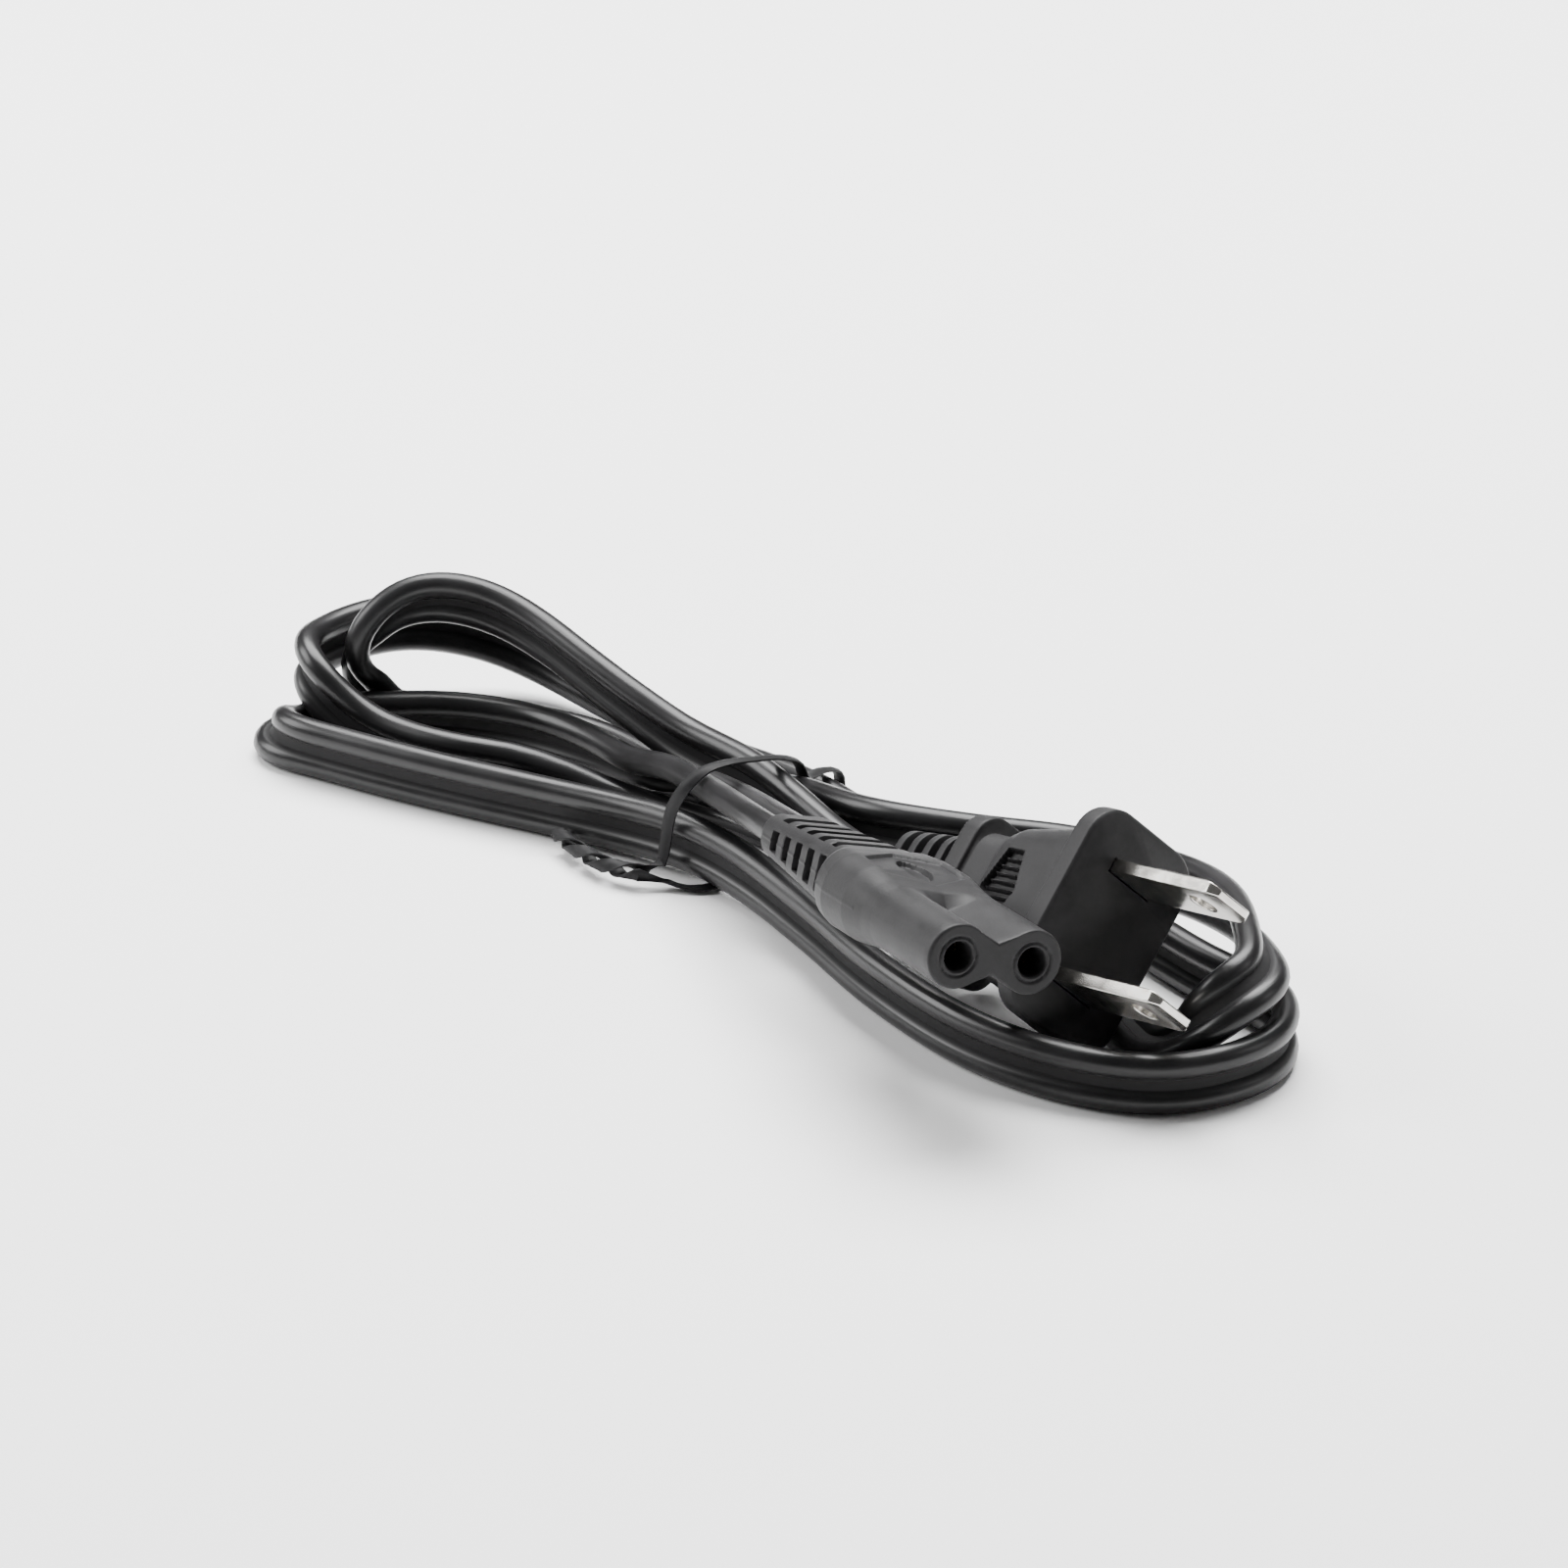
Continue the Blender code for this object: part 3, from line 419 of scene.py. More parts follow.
def cord_material():
    """Extruded flexible PVC: satin, with faint die lines and handling marks."""
    mat, tree, shader = new_material("cord_black_pvc", (0.03, 0.03, 0.031), 0.0, 0.36)
    shader.inputs["Specular IOR Level"].default_value = 0.32
    along = place_vector(tree, (0.05, 1.0, 1.0))
    everywhere = place_vector(tree)
    die_lines = noise(tree, along, 2.6, 4.0)
    patches = noise(tree, everywhere, 0.11, 3.0)
    grain = noise(tree, everywhere, 6.0, 2.0)
    colour = ramp(tree, patches, 0.35, 0.7, (0.007, 0.0068, 0.0072), (0.013, 0.0125, 0.0135))
    tree.links.new(colour, shader.inputs["Base Color"])
    roughness = dulled_groove(tree, everywhere, span(tree, patches, 0.27, 0.38))
    tree.links.new(roughness, shader.inputs["Roughness"])
    bumps(tree, shader, [(die_lines, 0.35, 0.00006), (grain, 0.18, 0.00002)])
    return mat


def moulding_material():
    """Injection-moulded PVC: matt, fine spark-eroded grain, a little bloom on the open faces."""
    mat, tree, shader = new_material("moulding_black_pvc", (0.05, 0.05, 0.052), 0.0, 0.5)
    shader.inputs["Specular IOR Level"].default_value = 0.22
    everywhere = place_vector(tree)
    bloom = noise(tree, everywhere, 0.22, 5.0, 0.62)
    grain = noise(tree, everywhere, 7.0, 3.0, 0.6)
    pits = noise(tree, everywhere, 2.4, 2.0)
    colour = ramp(tree, bloom, 0.34, 0.72, (0.009, 0.0087, 0.0093), (0.019, 0.0185, 0.0195))
    tree.links.new(colour, shader.inputs["Base Color"])
    tree.links.new(span(tree, bloom, 0.44, 0.60), shader.inputs["Roughness"])
    bumps(tree, shader, [(pits, 0.25, 0.00005), (grain, 0.45, 0.00003)])
    return mat


def nickel_material():
    """Plated strip: bright, drawn lengthwise, with faint rub marks from stamping."""
    mat, tree, shader = new_material("nickel_plate", (0.74, 0.72, 0.69), 1.0, 0.2)
    drawn = place_vector(tree, (0.12, 3.0, 3.0))
    everywhere = place_vector(tree)
    lines = noise(tree, drawn, 3.0, 4.0)
    clouds = noise(tree, everywhere, 0.5, 4.0)
    colour = ramp(tree, clouds, 0.3, 0.75, (0.50, 0.48, 0.45), (0.78, 0.76, 0.72))
    tree.links.new(colour, shader.inputs["Base Color"])
    tree.links.new(span(tree, clouds, 0.17, 0.27), shader.inputs["Roughness"])
    bumps(tree, shader, [(lines, 0.10, 0.00002)])
    return mat


def brass_material():
    """Rolled contact sleeve: plain brass, dulled in patches."""
    mat, tree, shader = new_material("contact_brass_sheet", (0.60, 0.47, 0.24), 1.0, 0.3)
    rolled = place_vector(tree, (0.2, 2.0, 2.0))
    everywhere = place_vector(tree)
    lines = noise(tree, rolled, 3.0, 3.0)
    clouds = noise(tree, everywhere, 0.9, 3.0)
    colour = ramp(tree, clouds, 0.3, 0.7, (0.16, 0.12, 0.06), (0.30, 0.23, 0.12))
    tree.links.new(colour, shader.inputs["Base Color"])
    tree.links.new(span(tree, clouds, 0.24, 0.42), shader.inputs["Roughness"])
    bumps(tree, shader, [(lines, 0.25, 0.00003)])
    return mat


def tie_material():
    """Thin plastic strip over a wire: slightly glossy, creased where it is twisted."""
    mat, tree, shader = new_material("tie_black_strip", (0.028, 0.027, 0.029), 0.0, 0.55)
    shader.inputs["Specular IOR Level"].default_value = 0.16
    everywhere = place_vector(tree)
    creases = noise(tree, everywhere, 0.9, 4.0, 0.6)
    colour = ramp(tree, creases, 0.35, 0.7, (0.005, 0.005, 0.0055), (0.010, 0.0097, 0.0105))
    tree.links.new(colour, shader.inputs["Base Color"])
    tree.links.new(span(tree, creases, 0.48, 0.66), shader.inputs["Roughness"])
    bumps(tree, shader, [(creases, 0.4, 0.00008)])
    return mat


def floor_material():
    mat, tree, shader = new_material("pale_floor", (0.9, 0.9, 0.9), 0.0, 0.7)
    source = tree.nodes.new("ShaderNodeTexCoord")
    faint = noise(tree, source.outputs["Object"], 3.0, 2.0)
    colour = ramp(tree, faint, 0.3, 0.7, (0.95, 0.95, 0.95), (0.97, 0.97, 0.97))
    tree.links.new(colour, shader.inputs["Base Color"])
    return mat


# Mesh helpers

def pose(at, out_dir, second_dir):
    """Matrix of a frame with its X along out_dir and its Y near second_dir, in metres."""
    x_axis = Vector(out_dir).normalized()
    y_axis = Vector(second_dir)
    y_axis = (y_axis - x_axis * y_axis.dot(x_axis)).normalized()
    z_axis = x_axis.cross(y_axis)
    rows = Matrix((x_axis, y_axis, z_axis)).transposed().to_4x4()
    middle = Vector((at[0] - FOOTPRINT_X, at[1] - FOOTPRINT_Y, at[2]))
    return Matrix.Scale(MM, 4) @ Matrix.Translation(middle) @ rows


def mesh_from(name, verts, faces):
    mesh = bpy.data.meshes.new(name)
    mesh.from_pydata([tuple(map(float, v)) for v in verts], [], faces)
    mesh.validate()
    bm = bmesh.new()
    bm.from_mesh(mesh)
    bmesh.ops.recalc_face_normals(bm, faces=bm.faces)
    bm.to_mesh(mesh)
    bm.free()
    return mesh


def loft(name, rings):
    """Closed body through a row of rings that all have the same number of points."""
    count = len(rings[0])
    verts = [point for ring in rings for point in ring]
    faces = [tuple(range(count))]
    for row in range(len(rings) - 1):
        for k in range(count):
            nxt = (k + 1) % count
            base = row * count
            faces.append((base + k, base + nxt, base + count + nxt, base + count + k))
    last = (len(rings) - 1) * count
    faces.append(tuple(last + k for k in reversed(range(count))))
    return mesh_from(name, verts, faces)


def box(name, low, high):
    corners = [(x, y, z) for x in (low[0], high[0]) for y in (low[1], high[1]) for z in (low[2], high[2])]
    faces = [(0, 1, 3, 2), (4, 6, 7, 5), (0, 4, 5, 1), (2, 3, 7, 6), (0, 2, 6, 4), (1, 5, 7, 3)]
    return mesh_from(name, corners, faces)


def turned(name, middle, profile, count=56):
    """Body turned about a line along X through y = middle; profile is (x, radius) pairs."""
    rings = []
    for x, radius in profile:
        ring = []
        for k in range(count):
            angle = 2 * math.pi * k / count
            ring.append((x, middle + radius * math.cos(angle), radius * math.sin(angle)))
        rings.append(ring)
    return loft(name, rings)


def combine(target, other, operation):
    """Boolean of two meshes, given back as a new mesh."""
    first = bpy.data.objects.new("first", target)
    second = bpy.data.objects.new("second", other)
    for obj in (first, second):
        bpy.context.scene.collection.objects.link(obj)
    step = first.modifiers.new("step", "BOOLEAN")
    step.operation = operation
    step.solver = "EXACT"
    step.object = second
    graph = bpy.context.evaluated_depsgraph_get()
    result = bpy.data.meshes.new_from_object(first.evaluated_get(graph))
    bpy.data.objects.remove(first)
    bpy.data.objects.remove(second)
    return result


def store_local(mesh, values):
    """Keeps each vertex's own coordinates, in millimetres, for the material to read."""
    kept = mesh.attributes.new("local", "FLOAT_VECTOR", "POINT")
    kept.data.foreach_set("vector", np.asarray(values, np.float32).ravel())


def add_piece(name, mesh, mat, smooth_angle, node):
    """Places a mesh as a piece that stands for one CAD node."""
    mesh.materials.clear()
    mesh.materials.append(mat)
    for face in mesh.polygons:
        face.use_smooth = True
    mesh.set_sharp_from_angle(angle=math.radians(smooth_angle))
    obj = bpy.data.objects.new(name, mesh)
    bpy.context.scene.collection.objects.link(obj)
    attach(obj, "root")
    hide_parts(node)
    return obj


def add_posed(name, mesh, mat, smooth_angle, node, place):
    coords = np.array([v.co for v in mesh.vertices])
    store_local(mesh, coords)
    mesh.transform(place)
    return add_piece(name, mesh, mat, smooth_angle, node)


def soft_step(value, edge):
    """0 below 0, 1 above edge, smooth in between."""
    t = np.clip(np.asarray(value, float) / edge, 0.0, 1.0)
    return t * t * (3 - 2 * t)


# Lines

def through_stations(stations, step):
    """Smooth line through the stations, read at equal steps."""
    rows = np.array(stations, float)
    rows = np.vstack([2 * rows[0] - rows[1], rows, 2 * rows[-1] - rows[-2]])
    dense = []
    for i in range(1, len(rows) - 2):
        p0, p1, p2, p3 = rows[i - 1:i + 3]
        d1, d2, d3 = [math.sqrt(np.linalg.norm((b - a)[:3])) for a, b in ((p0, p1), (p1, p2), (p2, p3))]
        t1 = d1
        t2 = d1 + d2
        t3 = t2 + d3
        count = max(4, int(d2 * d2 / 0.5))
        for k in range(count):
            t = t1 + d2 * k / count
            a1 = (p0 * (t1 - t) + p1 * t) / t1
            a2 = (p1 * (t2 - t) + p2 * (t - t1)) / d2
            a3 = (p2 * (t3 - t) + p3 * (t - t2)) / d3
            b1 = (a1 * (t2 - t) + a2 * t) / t2
            b2 = (a2 * (t3 - t) + a3 * (t - t1)) / (t3 - t1)
            dense.append((b1 * (t2 - t) + b2 * (t - t1)) / d2)
    dense.append(rows[-2])
    dense = np.array(dense)
    along = np.r_[0.0, np.cumsum(np.linalg.norm(np.diff(dense[:, :3], axis=0), axis=1))]
    count = int(along[-1] / step) + 1
    places = np.linspace(0.0, along[-1], count)
    return np.array([np.interp(places, along, dense[:, k]) for k in range(dense.shape[1])]).T


def relax(rows, count):
    rows = rows.copy()
    for _ in range(count):
        rows[1:-1] = 0.25 * rows[:-2] + 0.5 * rows[1:-1] + 0.25 * rows[2:]
    return rows


def tangents(points):
    t = np.gradient(points, axis=0)
    return t / np.linalg.norm(t, axis=1)[:, None]


def square_to(vectors, t):
    vectors = vectors - (vectors * t).sum(axis=1)[:, None] * t
    return vectors / np.linalg.norm(vectors, axis=1)[:, None]


def lean_directions(points, lean):
    """Direction across the flat cord at every point; steep stretches are bridged."""
    t = tangents(points)
    side = np.cross((0.0, 0.0, 1.0), t)
    level = np.linalg.norm(side, axis=1)
    side = side / np.maximum(level, 1e-6)[:, None]
    up = np.cross(t, side)
    angle = np.radians(lean)[:, None]
    wide = np.cos(angle) * up + np.sin(angle) * side
    good = np.flatnonzero(level > STEEP_LIMIT)
    every = np.arange(len(points))
    wide = np.array([np.interp(every, good, wide[good, k]) for k in range(3)]).T
    wide = relax(wide, LEAN_RELAX_COUNT)
    return square_to(wide, t)


def pick_rings(points, every, turn):
    """Indices of the rings: closer together where the line bends."""
    t = tangents(points)
    bend = np.arccos(np.clip((t[1:] * t[:-1]).sum(axis=1), -1.0, 1.0))
    length = np.linalg.norm(np.diff(points, axis=0), axis=1)
    need = np.r_[0.0, np.cumsum(length / every + bend / turn)]
    count = int(need[-1]) + 1
    marks = np.linspace(0.0, need[-1], count + 1)
    picked = [int(np.argmin(np.abs(need - mark))) for mark in marks]
    return sorted(set(picked))


def sweep(name, points, wide, outline):
    """Outline of (across, through) points carried along the line, in millimetres."""
    t = tangents(points)
    wide = square_to(wide, t)
    thin = np.cross(t, wide)
    along = np.r_[0.0, np.cumsum(np.linalg.norm(np.diff(points, axis=0), axis=1))]
    rings = []
    local = []
    for p, w, n, reach in zip(points, wide, thin, along):
        rings.append([tuple((p + a * w + b * n) * MM) for a, b in outline])
        local += [(reach, a, b) for a, b in outline]
    mesh = loft(name, rings)
    store_local(mesh, local)
    return mesh


# Cord

def cord_outline():
    """Two round cores side by side with a thin web between them."""
    radius = CORD_THICKNESS / 2
    offset = CORD_CORE_SPACING / 2
    open_angle = math.asin(CORD_WEB_THICKNESS / 2 / radius)
    ring = []
    for side in (1, -1):
        for k in range(CORD_LOBE_POINTS):
            share = k / (CORD_LOBE_POINTS - 1)
            angle = -math.pi + open_angle + share * (2 * math.pi - 2 * open_angle)
            ring.append((side * (offset + radius * math.cos(angle)), side * radius * math.sin(angle)))
    return ring


def cord_line():
    """Middle line of the cord and its width direction, in millimetres about the footprint."""
    def lead_point(at, out_dir, second_dir, back):
        return np.array(pose(at, out_dir, second_dir) @ Vector((back, 0, 0))) / MM

    stations = []
    for lead in (0.0, CORD_LEAD):
        back = -CONNECTOR_LENGTH - CORD_END_GAP - lead
        place = lead_point(CONNECTOR_AT, CONNECTOR_OUT, CONNECTOR_RIGHT, back)
        stations.append((*place, CONNECTOR_LEAN))
    stations += [(x - FOOTPRINT_X, y - FOOTPRINT_Y, z, lean) for x, y, z, lean in ROUTE]
    for lead in (CORD_LEAD, 0.0):
        back = -PLUG_RELIEF_END - CORD_END_GAP - lead
        place = lead_point(PLUG_AT, PLUG_OUT, PLUG_DOWN, back)
        stations.append((*place, PLUG_LEAN))
    rows = relax(through_stations(stations, ROUTE_STEP), ROUTE_RELAX_COUNT)
    points = rows[:, :3]
    wide = lean_directions(points, rows[:, 3])
    half_height = CORD_CORE_SPACING / 2 * np.abs(wide[:, 2]) + CORD_THICKNESS / 2
    points[:, 2] = np.maximum(points[:, 2], half_height)
    return points, wide


def make_cord():
    points, wide = cord_line()
    picked = pick_rings(points, CORD_RING_EVERY, CORD_RING_TURN)
    mesh = sweep("flat_cord", points[picked], wide[picked], cord_outline())
    obj = add_piece("flat_cord", mesh, cord_material(), 50.0, "cord")
    return obj, points * MM


# Plug

def box_outline(long, short, corner, long_points, short_points, corner_points):
    """Rounded rectangle with its points spread along the straight sides and the corners."""
    hx = long / 2 - corner
    hy = short / 2 - corner
    ring = []
    normals = []

    def straight(start, end, count, normal):
        for k in range(count):
            share = k / count
            ring.append((start[0] + share * (end[0] - start[0]), start[1] + share * (end[1] - start[1])))
            normals.append(normal)

    def bend(cx, cy, start):
        for k in range(corner_points):
            angle = math.radians(start + 90.0 * k / corner_points)
            ring.append((cx + corner * math.cos(angle), cy + corner * math.sin(angle)))
            normals.append((math.cos(angle), math.sin(angle)))

    straight((hx + corner, -hy), (hx + corner, hy), short_points, (1, 0))
    bend(hx, hy, 0)
    straight((hx, hy + corner), (-hx, hy + corner), long_points, (0, 1))
    bend(-hx, hy, 90)
    straight((-hx - corner, hy), (-hx - corner, -hy), short_points, (-1, 0))
    bend(-hx, -hy, 180)
    straight((-hx, -hy - corner), (hx, -hy - corner), long_points, (0, -1))
    bend(hx, -hy, 270)
    return np.array(ring), np.array(normals, float)


def plug_stations():
    """Rings of the plug from the tip of its strain relief to the face, close at the edges."""
    rows = []
    relief_length = PLUG_RELIEF_END - PLUG_COLLAR_END
    rib = relief_length / PLUG_RELIEF_RIBS
    groove = rib * PLUG_GROOVE_SHARE
    for k in range(PLUG_RELIEF_RIBS):
        start = PLUG_RELIEF_END - k * rib
        for back, inset in ((start, 0.25), (start - 0.25, 0.0), (start - rib + groove, 0.0),
                            (start - rib + groove - 0.15, PLUG_GROOVE_DEPTH),
                            (start - rib + 0.15, PLUG_GROOVE_DEPTH)):
            share = (PLUG_RELIEF_END - back) / relief_length
            long = PLUG_RELIEF_TIP[0] + share * (PLUG_RELIEF_ROOT[0] - PLUG_RELIEF_TIP[0])
            short = PLUG_RELIEF_TIP[1] + share * (PLUG_RELIEF_ROOT[1] - PLUG_RELIEF_TIP[1])
            rows.append((back, long - 2 * inset, short - 2 * inset, PLUG_RELIEF_CORNER - inset / 2))
    rows += PLUG_PROFILE
    rows = np.array(rows)
    reach = np.r_[0.0, np.cumsum(np.linalg.norm(np.diff(rows[:, :3] * (1, 0.5, 0.5), axis=0), axis=1))]
    places = np.arange(0.0, reach[-1], 0.06)
    dense = np.array([np.interp(places, reach, rows[:, k]) for k in range(4)]).T
    dense = np.vstack([dense, rows[-1]])
    dense = relax(dense, 4)
    line = np.column_stack([dense[:, 0], dense[:, 1] / 2, dense[:, 2] / 2])
    coarse = set(pick_rings(line, 0.9, 0.28))
    gripped = np.abs(dense[:, 0] - GRIP_MIDDLE) < GRIP_HALF_LENGTH + 0.4
    coarse |= set(np.flatnonzero(gripped)[::3].tolist())
    return dense[sorted(coarse)]


def grip_depth(back, p):
    """How far the grip panel lies under the broad side, its ribs included."""
    half = GRIP_HALF_LENGTH - GRIP_CORNER * np.abs(p) / GRIP_HALF_WIDTH
    inside = np.minimum(half - abs(back - GRIP_MIDDLE), GRIP_HALF_WIDTH - np.abs(p))
    depth = GRIP_DEPTH * soft_step(inside, 0.3)
    for k in range(GRIP_RIBS):
        at = ((k + 0.5) / GRIP_RIBS * 2 - 1) * (GRIP_HALF_WIDTH - 0.7)
        reach = GRIP_HALF_LENGTH - GRIP_CORNER * abs(at) / GRIP_HALF_WIDTH - 0.55
        within = np.minimum(GRIP_RIB_HALF - np.abs(p - at), reach - abs(back - GRIP_MIDDLE)) + 0.1
        depth = depth - GRIP_RIB_HEIGHT * soft_step(within, 0.26)
    return np.maximum(depth, 0.0)


def make_plug(mat):
    rings = []
    for back, long, short, corner in plug_stations():
        points, normals = box_outline(long, short, corner, 110, 26, 9)
        depth = np.zeros(len(points))
        broad = np.abs(normals[:, 1]) > 0.99
        if abs(back - GRIP_MIDDLE) < GRIP_HALF_LENGTH + 0.3:
            depth[broad] = grip_depth(back, points[broad, 0])
        narrow = np.abs(normals[:, 0]) > 0.99
        seam = SEAM_HEIGHT * soft_step(SEAM_HALF - np.abs(points[:, 1]) + 0.1, 0.2)
        if back > 3.2:
            depth[narrow] -= seam[narrow]
        points = points - normals * depth[:, None]
        rings.append([(-back, p, q) for p, q in points])
    mesh = loft("plug_moulding", rings)
    half_w = BLADE_WIDTH / 2 + POCKET_GAP
    half_t = BLADE_THICKNESS / 2 + POCKET_GAP
    for side in (-1, 1):
        middle = side * BLADE_PITCH / 2
        low = (-BLADE_ROOT - FIT_GAP, middle - half_t, -half_w)
        high = (CUT_PAST, middle + half_t, half_w)
        mesh = combine(mesh, box("pocket", low, high), "DIFFERENCE")
    place = pose(PLUG_AT, PLUG_OUT, PLUG_DOWN)
    return add_posed("plug_moulding", mesh, mat, 42.0, "plug_body", place)


def make_blade(name, side, mat, node):
    """Stamped blade: rounded edges, nipped tip corners and a round hole."""
    half = BLADE_WIDTH / 2
    cut = BLADE_TIP_CHAMFER
    tip = BLADE_LENGTH
    middle = side * BLADE_PITCH / 2
    rows = [
        (-BLADE_ROOT, half, 0.0),
        (tip - BLADE_TAPER_LENGTH, half, 0.0),
        (tip - cut, half, BLADE_SHOULDER_TAPER),
        (tip, half - cut, BLADE_TIP_TAPER),
    ]
    rings = []
    for x, h, thin in rows:
        t = BLADE_THICKNESS / 2 - thin
        rings.append([(x, middle - t, -h), (x, middle + t, -h), (x, middle + t, h), (x, middle - t, h)])
    mesh = loft(name, rings)
    hole = bpy.data.meshes.new("hole")
    bm = bmesh.new()
    bmesh.ops.create_cone(bm, cap_ends=True, segments=48, radius1=BLADE_HOLE_DIAMETER / 2,
                          radius2=BLADE_HOLE_DIAMETER / 2, depth=6.0)
    bmesh.ops.rotate(bm, verts=bm.verts, matrix=Matrix.Rotation(math.pi / 2, 3, "X"))
    bmesh.ops.translate(bm, verts=bm.verts, vec=(BLADE_HOLE_FROM_FACE, middle, 0.0))
    bm.to_mesh(hole)
    bm.free()
    mesh = combine(mesh, hole, "DIFFERENCE")
    mesh.name = name
    place = pose(PLUG_AT, PLUG_OUT, PLUG_DOWN)
    obj = add_posed(name, mesh, mat, 30.0, node, place)
    edge = obj.modifiers.new("edge", "BEVEL")
    edge.width = BLADE_EDGE_RADIUS * MM
    edge.segments = 3
    edge.limit_method = "ANGLE"
    edge.angle_limit = math.radians(28)
    edge.harden_normals = False
    return obj


# Connector

def eight_radius(angles, scale_wide, scale_high, valley):
    """Distance from the middle to the figure-eight outline in each direction."""
    radius = CONNECTOR_LOBE_DIAMETER / 2
    centre = CONNECTOR_HOLE_PITCH / 2
    reach = np.arange(0.5, centre + radius + 0.02, 0.01)
    x = np.abs(np.cos(angles)[:, None] * reach)
    y = np.abs(np.sin(angles)[:, None] * reach)
    lobe = np.sqrt(np.maximum(radius * radius - (x - centre) ** 2, 0.0))
    vee = CONNECTOR_VALLEY_HALF_HEIGHT + CONNECTOR_VALLEY_SLOPE * x
    dipped = np.minimum(np.maximum(lobe, vee), radius)
    between = radius + valley * (dipped - radius)
    height = np.where(x < centre, between, lobe)
    inside = y <= height
    distance = np.where(inside, reach, 0.0).max(axis=1)
    distance = relax_loop(distance, 2)
    return distance * np.cos(angles) * scale_wide, distance * np.sin(angles) * scale_high


def relax_loop(values, count):
    for _ in range(count):
        values = 0.25 * np.roll(values, 1) + 0.5 * values + 0.25 * np.roll(values, -1)
    return values


def rounded_radius(angles, wide, high, corner):
    """Points of a rounded rectangle in the given directions."""
    hx = wide / 2 - corner
    hy = high / 2 - corner
    c = np.abs(np.cos(angles))
    s = np.abs(np.sin(angles))
    to_side = wide / 2 / np.maximum(c, 1e-9)
    to_top = high / 2 / np.maximum(s, 1e-9)
    distance = np.minimum(to_side, to_top)
    in_corner = (distance * c > hx) & (distance * s > hy)
    along = c * hx + s * hy
    off = hx * hx + hy * hy - along * along
    round_reach = along + np.sqrt(np.maximum(corner * corner - off, 0.0))
    distance = np.where(in_corner, round_reach, distance)
    return distance * np.cos(angles), distance * np.sin(angles)


def slot_depth(back, p, q, half_wide, half_high):
    """Depth of the strain relief's slots at each outline point."""
    depth = np.zeros(len(p))
    for k in range(CONNECTOR_SLOTS):
        start = CONNECTOR_SLOT_START + k * CONNECTOR_SLOT_PITCH
        across = CONNECTOR_SLOT_WIDTH / 2 - abs(back - start - CONNECTOR_SLOT_WIDTH / 2) + 0.12
        if across <= 0:
            continue
        on_top = half_wide - 1.0 - np.abs(p)
        on_top = np.where(np.abs(q) > half_high - 0.6, on_top, -1.0)
        on_side = half_high - 1.5 - np.abs(q)
        on_side = np.where(np.abs(p) > half_wide - 0.6, on_side, -1.0)
        within = np.minimum(np.maximum(on_top, on_side) + 0.1, across)
        depth = np.maximum(depth, CONNECTOR_SLOT_DEPTH * soft_step(within, 0.24))
    return depth


def connector_backs():
    """Distances of the rings behind the face, close together where there is relief."""
    backs = [CONNECTOR_LENGTH - 0.3 * (1 - math.cos(a)) for a in np.linspace(0, math.pi / 2, 4)]
    backs += list(np.arange(CONNECTOR_LENGTH - 0.42, CONNECTOR_BODY_END + 0.3, -0.13))
    backs += list(np.arange(CONNECTOR_BODY_END + 0.3, 24.0, -0.15))
    backs += list(np.arange(24.0, 10.0, -0.15))
    backs += list(np.arange(10.0, 0.7, -0.8))
    return backs


def connector_section(back, angles):
    """Outline points at one distance behind the face."""
    body = np.array(CONNECTOR_BODY)
    wide, high, valley = [np.interp(back, body[:, 0], body[:, k]) for k in (1, 2, 3)]
    p, q = eight_radius(angles, wide, high, valley)
    if back < CONNECTOR_BODY_END - 0.7:
        return p, q
    share = min(max((back - CONNECTOR_BODY_END) / (CONNECTOR_LENGTH - CONNECTOR_BODY_END), 0.0), 1.0)
    rw = CONNECTOR_RELIEF_ROOT[0] + share * (CONNECTOR_RELIEF_TIP[0] - CONNECTOR_RELIEF_ROOT[0])
    rh = CONNECTOR_RELIEF_ROOT[1] + share * (CONNECTOR_RELIEF_TIP[1] - CONNECTOR_RELIEF_ROOT[1])
    inset = 0.3 * (1 - math.sqrt(max(0.0, 1 - max(0.0, (back - CONNECTOR_LENGTH + 0.3) / 0.3) ** 2)))
    rp, rq = rounded_radius(angles, rw - 2 * inset, rh - 2 * inset, CONNECTOR_RELIEF_CORNER)
    depth = slot_depth(back, rp, rq, rw / 2, rh / 2)
    flat_top = np.abs(rq) > rh / 2 - 0.6
    rq = rq - np.sign(rq) * np.where(flat_top, depth, 0.0)
    rp = rp - np.sign(rp) * np.where(flat_top, 0.0, depth)
    mix = float(soft_step(back - CONNECTOR_BODY_END + 0.7, 1.0))
    return p + mix * (rp - p), q + mix * (rq - q)


def dish_depth(back, p):
    """Oval thumb dish in the top of the connector."""
    half_length, half_width = CONNECTOR_DISH_HALF
    reach = ((back - CONNECTOR_DISH_MIDDLE) / half_length) ** 2 + (p / half_width) ** 2
    return CONNECTOR_DISH_DEPTH * soft_step(1.0 - np.sqrt(reach), 0.16)


def panel_depth(back, p):
    """Shallow six-sided panel round the thumb dish."""
    half_length, half_width = CONNECTOR_PANEL_HALF
    taper = CONNECTOR_PANEL_CUT * np.abs(p) / half_width
    inside = np.minimum(half_length - taper - abs(back - CONNECTOR_PANEL_MIDDLE), half_width - np.abs(p))
    return CONNECTOR_PANEL_DEPTH * soft_step(inside, 0.3)


